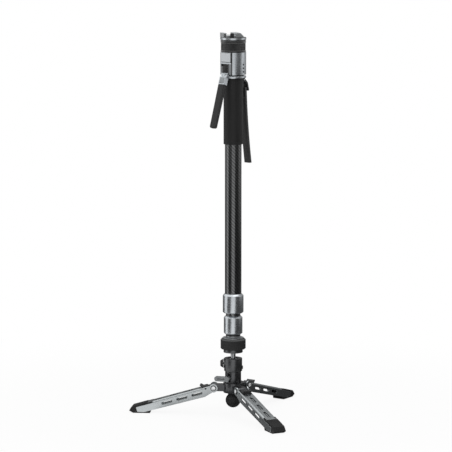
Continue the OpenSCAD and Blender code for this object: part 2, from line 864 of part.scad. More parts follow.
module tension_knob() {
    knob_u = house_r + boss_h + pass_clear;
    color(c_black)
        difference() {
            translate([-knob_u, 0, ball_z])
                rotate([0, -90, 0]) cylinder(r1 = knob_r, r2 = knob_face_r, h = knob_t);
            spoke(180, ball_z, tension_r, 0, knob_u + knob_t / 2);
        }
}

module tension_screw() {
    color(c_steel)
        spoke(180, ball_z, tension_r, cavity_r + pass_clear, house_r + boss_h + pass_clear + knob_t / 2);
}

module ball_liner() {
    edge = [liner_out * sin(liner_open), liner_out * cos(liner_open)];
    color(c_nylon)
        translate([0, 0, ball_z])
            difference() {
                sphere(r = liner_out);
                sphere(r = liner_in);
                cylinder(r1 = 0, r2 = 3 * edge[0], h = 3 * edge[1]);
            }
}

module ball_stem() {
    color(c_steel)
        translate([0, 0, ball_z]) {
            sphere(r = ball_r);
            cylinder(r = neck_r, h = neck_len);
            cylinder(r = thread_r, h = neck_len + thread_len);
        }
}

// Column seat: the adapter on the ball stud, the knurled lock ring and the stop for the lower collar.

module base_adapter() {
    color(c_black)
        difference() {
            union() {
                translate([0, 0, adapter_z]) cylinder(r = adapter_r, h = adapter_h);
                translate([0, 0, adapter_z]) cylinder(r = tube_3_bore, h = adapter_h + adapter_seat);
            }
            translate([0, 0, adapter_z - past]) cylinder(r = thread_r, h = thread_len + past);
        }
}

module lock_ring() {
    bore = tube_3_r + run_clear;
    color(c_rubber)
        translate([0, 0, lock_ring_z])
            rotate_extrude()
                polygon([[bore, 0], [lock_ring_r - lock_chamfer / 2, 0], [lock_ring_r, lock_chamfer / 2],
                    [lock_ring_r, lock_ring_h - lock_chamfer], [lock_ring_r - lock_chamfer, lock_ring_h],
                    [bore, lock_ring_h]]);
}

module ring_washer() {
    color(c_silver) ring(tube_3_r, washer_r, washer_z, washer_t);
}

module stop_sleeve() {
    color(c_black) ring(tube_3_r, stop_r, stop_z, stop_h);
}

// Tubes: each inner tube has a guide sleeve and a lock at its top, each outer one a collar at its foot.

module tube_3() {
    color(c_carbon) ring(tube_3_bore, tube_3_r, tube_3_z, tube_3_len);
}

module tube_2() {
    color(c_carbon) ring(tube_2_bore, tube_2_r, tube_2_z, tube_2_len);
}

module tube_1() {
    color(c_carbon) ring(tube_1_bore, tube_1_r, tube_1_z, tube_1_len);
}

module bush_3() {
    color(c_nylon) ring(tube_3_r, tube_2_bore - run_clear, tube_3_top - bush_len, bush_len);
}

module bush_2() {
    color(c_nylon) ring(tube_2_r, tube_1_bore - run_clear, tube_2_top - bush_len, bush_len);
}

module lock_core(bore, top) {
    color(c_brass) {
        translate([0, 0, top - core_h]) cylinder(r = bore, h = core_h);
        translate([0, 0, top]) cylinder(r = core_stem_r, h = shoe_h + pass_clear);
    }
}

module lock_shoes(bore, top) {
    color(c_nylon)
        for (i = [0, 1, 2])
            rotate([0, 0, i * 120])
                translate([0, 0, top + pass_clear / 2])
                    rotate_extrude(angle = shoe_angle)
                        translate([core_stem_r, 0]) square([bore - pass_clear - core_stem_r, shoe_h]);
}

module lock_core_3() {
    lock_core(tube_3_bore, tube_3_top);
}

module lock_shoes_3() {
    lock_shoes(tube_2_bore, tube_3_top);
}

module lock_core_2() {
    lock_core(tube_2_bore, tube_2_top);
}

module lock_shoes_2() {
    lock_shoes(tube_1_bore, tube_2_top);
}

module collar(inner_r, tube_r, build, z, h) {
    r = tube_r + build;
    color(c_silver)
        difference() {
            translate([0, 0, z])
                rotate_extrude()
                    polygon([[0, 0], [r - collar_chamfer / 2, 0], [r, collar_chamfer / 2],
                        [r, h - collar_chamfer], [r - collar_chamfer, h], [0, h]]);
            translate([0, 0, z + collar_lip_h]) cylinder(r = tube_r, h = h);
            translate([0, 0, z - past]) cylinder(r = inner_r + pass_clear, h = h);
            translate([0, 0, z + (collar_lip_h - seal_h) / 2])
                cylinder(r = inner_r + seal_depth, h = seal_h);
        }
}

module seal(inner_r, z) {
    color(c_rubber)
        ring(inner_r + run_clear, inner_r + seal_depth, z + (collar_lip_h - seal_h) / 2, seal_h);
}

module collar_1() {
    collar(tube_2_r, tube_1_r, collar_1_build, collar_1_z, collar_1_h);
}

module collar_2() {
    collar(tube_3_r, tube_2_r, collar_2_build, collar_2_z, collar_2_h);
}

module seal_1() {
    seal(tube_2_r, collar_1_z);
}

module seal_2() {
    seal(tube_3_r, collar_2_z);
}

module grip_sleeve() {
    color(c_rubber) ring(tube_1_r, tube_1_r + sleeve_t, sleeve_z, sleeve_len);
}

// Head: an aluminium body on the main tube, with the lever, latch, button and catch on it.

// the row of small screws in the head, reaching out to u
module screw_row(u) {
    for (i = [0, 1, 2])
        spoke(screw_row_az, head_z + row_screw_len + i * row_screw_space, row_screw_r,
            head_r - row_screw_len, u);
}

module head_body() {
    face_w = 2 * head_r;
    color(c_silver)
        difference() {
            union() {
                difference() {
                    translate([0, 0, head_z]) cylinder(r = head_r, h = head_h);
                    block(control_az, control_face, face_w, 0, face_w, head_z - past, head_h + 2 * past);
                }
                translate([0, 0, spigot_z]) cylinder(r = spigot_r, h = spigot_h);
                translate([0, 0, head_top]) cylinder(r = post_r, h = post_h);
                upright(control_az, lug_w) {
                    translate([lever_pin_u, lever_pin_z]) circle(r = lug_r);
                    translate([tube_1_r, lever_pin_z - lug_r]) square([lever_pin_u - tube_1_r, 2 * lug_r]);
                }
            }
            translate([0, 0, spigot_z - past]) cylinder(r = tube_1_r, h = tube_seat + past);
            translate([0, 0, spigot_z])
                cylinder(r = rod_r + run_clear, h = tube_seat + rod_seat + rod_travel + pass_clear);
            cross_pin(control_az, lever_pin_u, lever_pin_z, lever_pin_r, lever_w);
            block(control_az, control_face + button_proud - button_t - catch_slide_t, face_w, 0,
                button_w + 2 * run_clear, head_top - button_h - 2 * pass_clear, button_h + pass_clear);
            block(control_az, control_face - catch_slide_t, face_w, -catch_slide_off,
                catch_slide_w + 2 * run_clear, head_z + lug_r,
                catch_slide_h + catch_slide_travel + 2 * pass_clear);
            screw_row(head_r + past);
        }
}

module lower_ring() {
    color(c_silver)
        difference() {
            ring(spigot_r, head_r, lower_ring_z, lower_ring_h);
            block(control_az, tube_1_r, 2 * head_r, 0, lever_w + 2 * pass_clear, lower_ring_z - past,
                lower_ring_h + 2 * past);
        }
}

module body_screws() {
    color(c_steel) screw_row(head_r + row_screw_proud);
}

module lever_pin() {
    color(c_steel) cross_pin(control_az, lever_pin_u, lever_pin_z, lever_pin_r, lever_w);
}

module latch_pin() {
    color(c_steel) cross_pin(control_az + 180, latch_pin_u, latch_pin_z, lever_pin_r, palm_w);
}

module palm_bar() {
    centre_u = (palm_u_top + palm_u_tail) / 2 + (palm_curve - palm_sag) * cos(palm_tilt);
    centre_z = palm_z - palm_len / 2 + (palm_curve - palm_sag) * sin(palm_tilt);
    web_u = spigot_r + pass_clear;
    color(c_black)
        difference() {
            union() {
                upright(control_az + 180, palm_w)
                    intersection() {
                        translate([centre_u, centre_z])
                            difference() {
                                circle(r = palm_curve + palm_t, $fn = fine_fn);
                                circle(r = palm_curve, $fn = fine_fn);
                            }
                        translate([0, palm_z - palm_len]) square([2 * palm_u_tail, palm_len - palm_web_h]);
                    }
                upright(control_az + 180, palm_web_w)
                    polygon([[web_u, palm_z], [web_u, palm_z - palm_web_h / 2],
                        [palm_u_top - palm_t, palm_z - 2 * palm_web_h],
                        [palm_u_top - palm_t / 2, palm_z - 2 * palm_web_h],
                        [palm_u_top - palm_t / 2, palm_z - palm_web_h], [latch_pin_u, palm_z]]);
                cross_pin(control_az + 180, latch_pin_u, latch_pin_z, lug_r, palm_web_w);
            }
            cross_pin(control_az + 180, latch_pin_u, latch_pin_z, lever_pin_r, palm_w);
        }
}

// a straight piece hanging from a pin, leaning out from the column
module hanging(az, u, z, lean, w) {
    rotate([0, 0, az])
        translate([u, 0, z])
            rotate([0, -lean, 0])
                upright(0, w) children();
}

module lever_arm() {
    color(c_silver)
        difference() {
            hanging(control_az, lever_pin_u, lever_pin_z, lever_lean, lever_w) {
                circle(r = lug_r);
                polygon([[-lug_r, 0], [-lug_r, -arm_len], [arm_t - lug_r, -arm_len],
                    [arm_t - lug_r, -lug_r], [lug_r, 0]]);
            }
            cross_pin(control_az, lever_pin_u, lever_pin_z, 3 * lug_r / 2, lug_w + 2 * pass_clear);
            cross_pin(control_az, lever_pin_u, lever_pin_z, lever_pin_r + run_clear, lever_w + past);
        }
}

module lever_grip() {
    end_z = -arm_len - grip_len;
    color(c_rubber)
        hanging(control_az, lever_pin_u, lever_pin_z, lever_lean, lever_w)
            polygon([[-lug_r, -arm_len], [arm_t - lug_r + grip_step, -arm_len],
                [grip_t - lug_r + grip_bow, -arm_len - grip_len / 2], [grip_t - lug_r, end_z + grip_bow],
                [grip_t - lug_r - grip_bow, end_z], [grip_bow - lug_r, end_z], [-lug_r, end_z + grip_bow]]);
}

module thumb_latch() {
    color(c_black)
        difference() {
            union() {
                cross_pin(control_az + 180, latch_pin_u, latch_pin_z, lug_r, palm_w - 2 * latch_step);
                hanging(control_az + 180, latch_pin_u, latch_pin_z, latch_lean, palm_w)
                    polygon([[0, lug_r / 2], [lug_r / 2, lug_r / 2], [latch_reach, -latch_shoulder],
                        [latch_reach, -latch_len], [latch_reach - latch_t, -latch_len],
                        [latch_reach - latch_t, -latch_shoulder - latch_t], [0, -lug_r / 2]]);
            }
            hanging(control_az + 180, latch_pin_u, latch_pin_z, latch_lean, palm_web_w + 2 * pass_clear)
                square(3 * lug_r, center = true);
            cross_pin(control_az + 180, latch_pin_u, latch_pin_z, lever_pin_r + run_clear, palm_w + past);
        }
}

module release_button() {
    color(c_silver)
        block(control_az, control_face + button_proud - button_t, control_face + button_proud, 0, button_w,
            head_top - button_h - 3 * pass_clear / 2, button_h);
}

module slide_catch() {
    catch_z = head_z + lug_r + pass_clear;
    color(c_black) {
        block(control_az, control_face - catch_slide_t, control_face, -catch_slide_off, catch_slide_w,
            catch_z, catch_slide_h);
        for (i = [1, 2, 3])
            block(control_az, control_face - rib_h, control_face + rib_h, -catch_slide_off,
                catch_slide_w - 2 * rib_h, catch_z + i * catch_slide_h / 4 - rib_h / 2, rib_h);
    }
}

module pull_rod() {
    color(c_steel) translate([0, 0, rod_top - rod_len]) cylinder(r = rod_r, h = rod_len);
}

// Quick release: a rubber ring turns on the post and moves one jaw of the clamp above it.

module clamp_ring() {
    color(c_rubber) ring(post_r + run_clear, turn_ring_r, head_top + pass_clear, post_h - 2 * pass_clear);
}

module clamp_base() {
    color(c_silver)
        difference() {
            translate([0, 0, clamp_z]) cylinder(r = clamp_r, h = clamp_h);
            rotate([0, 0, slot_yaw])
                translate([-2 * clamp_r - fixed_lip_u - pass_clear, -jaw_foot_w / 2 - run_clear,
                    jaw_z - jaw_foot_h])
                    cube([2 * clamp_r, jaw_foot_w + 2 * run_clear, jaw_foot_h + past]);
        }
}

module fixed_jaw() {
    back_u = fixed_jaw_w - fixed_lip_u;
    floor_u = -fixed_lip_u - slot_lip - undercut + pass_clear;
    slot_z = jaw_top - slot_depth;
    color(c_silver)
        upright(slot_yaw, jaw_len)
            polygon([[-fixed_lip_u, jaw_top], [back_u - back_slope_u, jaw_top],
                [back_u, jaw_z + back_foot_h], [back_u, jaw_z], [floor_u, jaw_z], [floor_u, slot_z],
                [undercut - fixed_lip_u, slot_z], [undercut - fixed_lip_u, jaw_top - lip_h - undercut],
                [-fixed_lip_u, jaw_top - lip_h]]);
}

module plate_stop() {
    far_u = -fixed_lip_u - plate_stop_in;
    color(c_black)
        block(slot_yaw, far_u - plate_stop_w, far_u, -(jaw_len + plate_stop_t) / 2, plate_stop_t, jaw_z,
            jaw_h - plate_stop_drop);
}

module sliding_jaw() {
    lip_u = -fixed_lip_u - slot_lip;
    color(c_silver) {
        upright(slot_yaw, jaw_len - 2 * past)
            polygon([[lip_u, jaw_top], [lip_u - slide_jaw_w, jaw_top],
                [lip_u - slide_jaw_w, jaw_z + pass_clear], [lip_u - undercut, jaw_z + pass_clear],
                [lip_u - undercut, jaw_top - lip_h - undercut], [lip_u, jaw_top - lip_h]]);
        upright(slot_yaw, jaw_foot_w)
            translate([lip_u - slide_jaw_w, jaw_z - jaw_foot_h + pass_clear])
                square([slide_jaw_w + jaw_foot_reach, jaw_foot_h - 2 * pass_clear]);
        upright(slot_yaw, jaw_foot_w)
            translate([lip_u - slide_jaw_w, jaw_z - jaw_foot_h + pass_clear])
                square([slide_jaw_w - undercut, jaw_foot_h + pass_clear]);
    }
}

leg_hub();
pan_socket();
ball_foot();
foot_stud();
leg_pins();
thrust_washer();
leg_left();
leg_front();
leg_right();
foot_left();
foot_front();
foot_right();
catch_left();
catch_front();
catch_right();
pan_lock_lever();
pan_lock_screw();
ball_housing();
ball_retainer();
pan_bolt();
housing_screw();
tension_knob();
tension_screw();
ball_liner();
ball_stem();
base_adapter();
ring_washer();
stop_sleeve();
tube_3();
bush_3();
lock_core_3();
lock_shoes_3();
lock_ring();
tube_2();
collar_2();
seal_2();
bush_2();
lock_core_2();
lock_shoes_2();
tube_1();
collar_1();
seal_1();
grip_sleeve();
head_body();
lower_ring();
palm_bar();
body_screws();
lever_pin();
latch_pin();
clamp_base();
fixed_jaw();
plate_stop();
lever_arm();
lever_grip();
thumb_latch();
release_button();
slide_catch();
clamp_ring();
sliding_jaw();
pull_rod();
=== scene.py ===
"""Camera monopod: the finishes and fine pieces of its look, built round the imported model."""

import math

import bmesh
import bpy
import numpy as np
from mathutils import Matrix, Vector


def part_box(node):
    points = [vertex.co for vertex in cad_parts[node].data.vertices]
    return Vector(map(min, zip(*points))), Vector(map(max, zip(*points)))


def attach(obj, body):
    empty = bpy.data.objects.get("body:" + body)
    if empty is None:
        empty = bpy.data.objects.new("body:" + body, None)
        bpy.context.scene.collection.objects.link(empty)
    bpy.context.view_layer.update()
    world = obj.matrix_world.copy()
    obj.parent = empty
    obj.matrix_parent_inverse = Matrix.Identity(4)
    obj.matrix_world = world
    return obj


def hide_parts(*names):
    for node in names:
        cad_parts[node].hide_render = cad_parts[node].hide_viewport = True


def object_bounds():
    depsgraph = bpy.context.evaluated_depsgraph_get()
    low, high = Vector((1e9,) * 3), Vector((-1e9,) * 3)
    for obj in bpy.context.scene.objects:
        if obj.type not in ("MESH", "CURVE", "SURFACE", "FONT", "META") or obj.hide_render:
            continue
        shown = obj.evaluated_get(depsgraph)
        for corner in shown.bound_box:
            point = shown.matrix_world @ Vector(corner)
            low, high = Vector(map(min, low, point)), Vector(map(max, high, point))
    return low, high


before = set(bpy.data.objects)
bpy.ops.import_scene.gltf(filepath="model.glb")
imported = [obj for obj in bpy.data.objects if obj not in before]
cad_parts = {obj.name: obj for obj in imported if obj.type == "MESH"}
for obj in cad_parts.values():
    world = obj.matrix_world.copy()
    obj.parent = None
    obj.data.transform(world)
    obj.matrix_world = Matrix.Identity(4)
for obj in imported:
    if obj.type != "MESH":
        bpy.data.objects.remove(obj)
solid_low, solid_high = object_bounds()
scene = bpy.context.scene


# Ball foot: a moulded rubber ball with a short neck, pressed over the steel stud under the hub. Small
# dimples in staggered rows cover it, so that it doesn't slip when the column stands on it alone.
mm = 0.001
foot_low, foot_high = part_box("ball_foot")
ball_radius = (foot_high.x - foot_low.x) / 2
flat_radius = 3.4 * mm
neck_radius = 10.0 * mm
neck_edge = 0.6 * mm
dimple_depth = 0.7 * mm
dimples_round = 22
dimple_rows = 10
dimple_sides = 8
foot_steps = 121
plain_end = 0.30
plain_fade = 0.25
foot_black = (0.003, 0.003, 0.0031)
foot_worn = (0.034, 0.034, 0.0345)
noise_middle = {"From_Min": 0.3, "From_Max": 0.7}


def feed(node, **settings):
    """Fills in a shader node: a setting is a socket's link or value, by name or number, or a property."""
    for name, value in settings.items():
        numbered = name[0] == "i" and name[1:].isdigit()
        socket = node.inputs[int(name[1:])] if numbered else node.inputs.get(name.replace("_", " "))
        if socket is None:
            setattr(node, name, value)
        elif isinstance(value, bpy.types.NodeSocket):
            node.id_data.links.new(value, socket)
        else:
            socket.default_value = value
    return node


def wire(tree, kind, **settings):
    """Adds one shader node and fills it in."""
    return feed(tree.nodes.new(kind), **settings)


def maths(tree, operation, *values):
    """The outcome of a Math node on up to three links or values."""
    numbered = {f"i{place}": value for place, value in enumerate(values)}
    return wire(tree, "ShaderNodeMath", operation=operation, **numbered).outputs[0]


def blend(tree, share, first, second):
    """A colour between two, by a share from zero to one."""
    return wire(tree, "ShaderNodeMix", data_type="RGBA", i0=share, i6=first, i7=second).outputs[2]


def object_spot(tree):
    """The Object coordinates of the point that is shaded."""
    return wire(tree, "ShaderNodeTexCoord").outputs["Object"]


def grain(tree, cells, stretch=1.0, detail=3.0):
    """Noise on Object coordinates of so many cells a metre, drawn out in height by a stretch under one."""
    drawn = wire(tree, "ShaderNodeMapping", Vector=object_spot(tree), Scale=(1.0, 1.0, stretch))
    return wire(tree, "ShaderNodeTexNoise", Vector=drawn.outputs[0], Scale=cells, Detail=detail).outputs[0]


def finish(name, dark, light, roughness, cells, stretch=1.0, hills=0.0, shine=0.5, **sockets):
    """A node material. Over a noise of so many cells a metre its colour runs from dark to light, its
    roughness between two values, and its surface rises by hills millimetres. Shine is its specular level,
    and the other sockets take one value each."""
    paint = bpy.data.materials.new(name)
    paint.use_nodes = True
    tree = paint.node_tree
    noise = grain(tree, cells, stretch)
    share = wire(tree, "ShaderNodeMapRange", Value=noise, **noise_middle)
    colour = blend(tree, share.outputs[0], (*dark, 1.0), (*light, 1.0))
    polish = wire(tree, "ShaderNodeMapRange", Value=noise, **noise_middle, To_Min=roughness[0],
                  To_Max=roughness[1])
    shader = feed(tree.nodes["Principled BSDF"], Base_Color=colour, Roughness=polish.outputs[0],
                  Specular_IOR_Level=shine, **sockets)
    if hills:
        relief = wire(tree, "ShaderNodeBump", Height=noise, Distance=hills * mm)
        feed(shader, Normal=relief.outputs[0])
    return paint


def full_turn(sides):
    """So many even angles round a circle, from zero."""
    return np.linspace(0.0, 2.0 * math.pi, sides, endpoint=False)


def revolve(radius, height, sides):
    """A turned surface: x = r cos a, y = r sin a, z = h, with r and h for each row or for each point."""
    angle = full_turn(sides)
    radius, height = np.broadcast_arrays(radius, height, np.empty((1, sides)))[:2]
    return np.stack([radius * np.cos(angle), radius * np.sin(angle), height], axis=-1)


def skin(name, points, ring=False, crease=38.0):
    """A closed mesh over a grid of points [row, column]: quads join neighbours and each row closes on
    itself. The last row meets the first if ring is set; otherwise one face closes each end."""
    rows, columns = points.shape[:2]
    here = np.arange(rows * columns).reshape(rows, columns)
    above = np.roll(here, -1, axis=0)
    quads = np.stack([here, np.roll(here, -1, axis=1), np.roll(above, -1, axis=1), above], axis=-1)
    faces = (quads if ring else quads[:-1]).reshape(-1, 4).tolist()
    if not ring:
        faces += [here[0, ::-1].tolist(), here[-1].tolist()]
    mesh = bpy.data.meshes.new(name)
    mesh.from_pydata(points.reshape(-1, 3).tolist(), [], faces)
    turned = bmesh.new()
    turned.from_mesh(mesh)
    bmesh.ops.recalc_face_normals(turned, faces=turned.faces)
    turned.to_mesh(mesh)
    turned.free()
    mesh.shade_smooth()
    mesh.set_sharp_from_angle(angle=math.radians(crease))
    piece = bpy.data.objects.new(name, mesh)
    scene.collection.objects.link(piece)
    return piece


def fit(piece, body, slot, paint, *stands_for):
    """Paints a piece, lets it move with a body, and hides the solids that it stands for."""
    piece.data.materials.append(paint)
    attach(piece, body)
    if stands_for:
        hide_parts(*stands_for)


def foot_surface():
    """A ball of radius R cut flat below and carried on as a neck: at the polar angle p its wall lies at
    r = (R - d) sin p and z = c - (R - d) cos p, with a dimple d where cos(n a) cos(pi q) is positive and q
    counts the rows of dimples."""
    polar_end = math.pi - math.asin(neck_radius / ball_radius)
    polar = np.linspace(math.asin(flat_radius / ball_radius), polar_end, foot_steps)
    angle = full_turn(dimple_sides * dimples_round)
    row = dimple_rows * (polar - polar[0]) / (polar[-1] - polar[0])
    wave = np.cos(math.pi * row)[:, None] * np.cos(dimples_round * angle)[None, :]
    fade = np.clip((np.sin(polar) - plain_end) / plain_fade, 0.0, 1.0)[:, None]
    reach = ball_radius - dimple_depth * fade * np.clip(wave, 0.0, 1.0)
    centre = math.sqrt(ball_radius ** 2 - flat_radius ** 2)
    ball = revolve(reach * np.sin(polar)[:, None], centre - reach * np.cos(polar)[:, None], angle.size)
    neck_reach = np.array([[neck_radius], [neck_radius - neck_edge]])
    neck_rise = np.array([[foot_high.z - neck_edge], [foot_high.z]])
    return np.concatenate([ball, revolve(neck_reach, neck_rise, angle.size)])


foot_rubber = finish("foot_rubber", foot_black, foot_worn, roughness=(0.45, 0.65), cells=420.0,
                     hills=0.06, shine=0.30)
fit(skin("dimpled_foot", foot_surface(), crease=60.0), "base", "rubber", foot_rubber, "ball_foot")


# Foot stud, pan bolt and thrust washer: the turned steel fasteners in the hub's well, and the nylon ring
# that the ball housing pans on. They stay as the solids are, with their edges broken.
steel_dark = (0.50, 0.50, 0.51)
steel_light = (0.66, 0.66, 0.67)
nylon_dark = (0.62, 0.61, 0.56)
nylon_light = (0.74, 0.73, 0.68)
weld_reach = mm / 1000
edge_segments = 3


def dress(paint, *names, rounding=0.4, angle=35.0):
    """Paints solids and rounds their edges: doubles are merged, and edges sharper than the angle are
    rounded by so many millimetres."""
    for name in names:
        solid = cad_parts[name]
        solid.data.materials.clear()
        solid.data.materials.append(paint)
        solid.modifiers.new("weld", "WELD").merge_threshold = weld_reach
        edge = solid.modifiers.new("rounding", "BEVEL")
        edge.width = rounding * mm
        edge.segments = edge_segments
        edge.limit_method = "ANGLE"
        edge.angle_limit = math.radians(angle)
        edge.harden_normals = True


turned_steel = finish("turned_steel", steel_dark, steel_light, roughness=(0.18, 0.30), cells=120.0,
                      stretch=30.0, Metallic=1.0)
nylon = finish("nylon", nylon_dark, nylon_light, roughness=(0.42, 0.55), cells=500.0, shine=0.35)
dress(turned_steel, "foot_stud", "pan_bolt", rounding=0.3)
dress(nylon, "thrust_washer", rounding=0.1)


# Leg hub and pan socket: a turned and milled aluminium hub with three lugs for the legs, and the pan
# cylinder bolted on it. Both are blasted and anodised satin black, with painted shade in the pan lock's
# recess.
hub_black = (0.090, 0.092, 0.096)
hub_sheen = (0.125, 0.128, 0.133)
# painted shade: the near-black laid in recesses, slots and gaps where shade falls
painted_shade_black = (0.012, 0.012, 0.0125)
lock_turn = 238.0
pan_radius = 15.5 * mm
lock_recess = {"ahead": (pan_radius - 3.2 * mm, pan_radius - 0.5 * mm), "beside": (-3.8 * mm, 3.8 * mm),
               "height": (52.1 * mm, 68.9 * mm)}
upward = np.array([0.0, 0.0, 1.0])


def compass(degrees):
    """The level direction at so many degrees round the column, from +X towards +Y."""
    return np.array([math.cos(math.radians(degrees)), math.sin(math.radians(degrees)), 0.0])


def paint_over(paint, mask, colour):
    """Lays a colour over a finish where the mask is one, and takes the metal's mirror away there."""
    tree = paint.node_tree
    shader = tree.nodes["Principled BSDF"]
    bare = shader.inputs["Base Color"].links[0].from_socket
    metal = shader.inputs["Metallic"]
    mirror = metal.links[0].from_socket if metal.links else metal.default_value
    laid = blend(tree, mask, bare, (*colour, 1.0))
    dulled = maths(tree, "MULTIPLY", mirror, maths(tree, "SUBTRACT", 1.0, mask))
    feed(shader, Base_Color=laid, Metallic=dulled)


def paint_box(paint, colour, turn, ahead, beside, height, slope=0.0):
    """Lays a colour over a finish inside a box that is turned so many degrees round the column and slopes
    down outwards. Its ranges outwards, to the side and in height are pairs of a low and a high bound."""
    tree = paint.node_tree
    spot = object_spot(tree)
    fall = math.radians(slope)
    outwards = math.cos(fall) * compass(turn) - math.sin(fall) * upward
    across = compass(turn + 90.0)
    inside = 1.0
    for way, (low, high) in ((outwards, ahead), (across, beside), (np.cross(outwards, across), height)):
        along = wire(tree, "ShaderNodeVectorMath", operation="DOT_PRODUCT", i0=spot, i1=way)
        within = maths(tree, "COMPARE", along.outputs["Value"], (low + high) / 2, (high - low) / 2)
        inside = maths(tree, "MULTIPLY", inside, within)
    paint_over(paint, inside, colour)


black_anodised = finish("black_anodised", hub_black, hub_sheen, roughness=(0.24, 0.34), cells=1400.0,
                        hills=0.006, Metallic=0.95)
# painted shade inside the pan lock's recess
paint_box(black_anodised, painted_shade_black, lock_turn, **lock_recess)
dress(black_anodised, "leg_hub", "pan_socket", rounding=0.7)


# Leg pins: bright steel pins through the lugs, with a polished dome on each head and a black nylon washer
# under it. The washers are pressed on the pins against the legs' sides.
leg_turns = {"left": 175.7, "front": 295.7, "right": 55.7}
hinge_out = 37.5 * mm
hinge_height = 39.0 * mm
leg_half_width = 12.5 * mm
washer_radius = 5.6 * mm
washer_bore = 3.1 * mm
washer_gap = 0.05 * mm
washer_thickness = 0.3 * mm
pin_past_leg = 1.4 * mm
pin_end = leg_half_width + pin_past_leg
pin_sides = 48
dome_radius = 4.0 * mm
dome_height = 0.7 * mm
dome_steps = 9
dome_flat = 0.06
dome_dark = (0.88, 0.89, 0.90)
dome_light = (0.94, 0.95, 0.96)
washer_black = (0.010, 0.010, 0.010)
washer_sheen = (0.020, 0.020, 0.021)


def aim(points, origin, across, along):
    """Moves points from a piece's axes to the object's: o + x across + y along + z (across x along)."""
    axes = np.array([across, along, np.cross(across, along)])
    return np.asarray(origin) + points @ axes


def dome(radius, height):
    """A low dome: with b = arctan(h / r), its section is the arc R sin p, R cos p - R cos 2b for p from
    2b to near zero, on a sphere of radius R = r / sin 2b."""
    spread = 2.0 * math.atan2(height, radius)
    sphere = radius / math.sin(spread)
    polar = np.linspace(spread, dome_flat * spread, dome_steps)[:, None]
    return revolve(sphere * np.sin(polar), sphere * (np.cos(polar) - math.cos(spread)), pin_sides)


dress(turned_steel, "leg_pins", rounding=0.35)
polished_steel = finish("polished_steel", dome_dark, dome_light, roughness=(0.16, 0.22), cells=200.0,
                        Metallic=0.45)
black_nylon = finish("black_nylon", washer_black, washer_sheen, roughness=(0.4, 0.55), cells=700.0,
                     shine=0.4)
washer_ring = revolve(np.array([[washer_bore], [washer_radius], [washer_radius], [washer_bore]]),
                      np.array([[0.0], [0.0], [washer_thickness], [washer_thickness]]), pin_sides)
for leg_name, leg_turn in leg_turns.items():
    outward = compass(leg_turn)
    for side_name, side in (("a", 1.0), ("b", -1.0)):
        sideways = side * np.cross(upward, outward)
        hinge = hinge_out * outward + hinge_height * upward
        lengthwise = np.cross(sideways, upward)
        washer = aim(washer_ring, hinge + (leg_half_width + washer_gap) * sideways, upward, lengthwise)
        fit(skin(f"washer_{leg_name}_{side_name}", washer, ring=True), "base", "black_plastic", black_nylon)
        pin_dome = aim(dome(dome_radius, dome_height), hinge + pin_end * sideways, upward, lengthwise)
        fit(skin(f"pin_dome_{leg_name}_{side_name}", pin_dome), "base", "steel", polished_steel)


# Legs: channels pressed from aluminium sheet, with slots in the top and sides that save weight. They are
# tumbled smooth and anodised a light grey, so their broad faces mirror the room softly. The walls of the
# slots in their tops are painted black as painted shade.
leg_grey = (0.49, 0.52, 0.53)
leg_light = (0.57, 0.60, 0.61)
leg_slope = 16.0
slot_reach = 5.0 * mm
slot_top = 5.75 * mm
far = 1.0
everywhere = (-far, far)
leg_fall = math.radians(leg_slope)
hinge_rise = hinge_out * math.sin(leg_fall) + hinge_height * math.cos(leg_fall)
leg_anodised = finish("leg_anodised", leg_grey, leg_light, roughness=(0.21, 0.28), cells=900.0,
                      hills=0.008, Metallic=1.0)
# painted shade on the walls of the top slots and on the sheet's underside round them
for leg_turn in leg_turns.values():
    paint_box(leg_anodised, painted_shade_black, leg_turn, (0.0, far), (-slot_reach, slot_reach),
              (-far, hinge_rise + slot_top), leg_slope)
dress(leg_anodised, "leg_left", "leg_front", "leg_right", rounding=0.5)


# Leg feet: soft rubber shoes moulded round the legs' tips, with a flat sole, a blunt nose and a few grip
# ribs across the top. One finish per foot, because its ribs lie across that foot.
shoe_black = (0.007, 0.007, 0.0072)
shoe_worn = (0.017, 0.017, 0.0174)
rib_pitch = 3.2 * mm
rib_height = 0.3 * mm
rib_start = 158.0 * mm
rib_end = 178.0 * mm
rib_fade = 1.0 * mm


def ribs(paint, turn):
    """Adds round ribs across a foot, whose height is cos(2 pi d / pitch) at the distance d along it."""
    tree = paint.node_tree
    shader = tree.nodes["Principled BSDF"]
    ahead = wire(tree, "ShaderNodeVectorMath", operation="DOT_PRODUCT", i0=object_spot(tree),
                 i1=compass(turn)).outputs["Value"]
    wave = maths(tree, "COSINE", maths(tree, "MULTIPLY", ahead, 2.0 * math.pi / rib_pitch))
    near = wire(tree, "ShaderNodeMapRange", Value=ahead, From_Min=rib_start, From_Max=rib_start + rib_fade)
    last = wire(tree, "ShaderNodeMapRange", Value=ahead, From_Min=rib_end, From_Max=rib_end - rib_fade)
    band = maths(tree, "MULTIPLY", near.outputs[0], last.outputs[0])
    rubber_bump = shader.inputs["Normal"].links[0].from_socket
    raised = wire(tree, "ShaderNodeBump", Height=maths(tree, "MULTIPLY", wave, band), Distance=rib_height,
                  Normal=rubber_bump)
    feed(shader, Normal=raised.outputs[0])


for leg_name, leg_turn in leg_turns.items():
    shoe_rubber = finish(f"shoe_rubber_{leg_name}", shoe_black, shoe_worn, roughness=(0.55, 0.72),
                         cells=800.0, hills=0.05, shine=0.3)
    ribs(shoe_rubber, leg_turn)
    dress(shoe_rubber, f"foot_{leg_name}", rounding=1.6, angle=25.0)


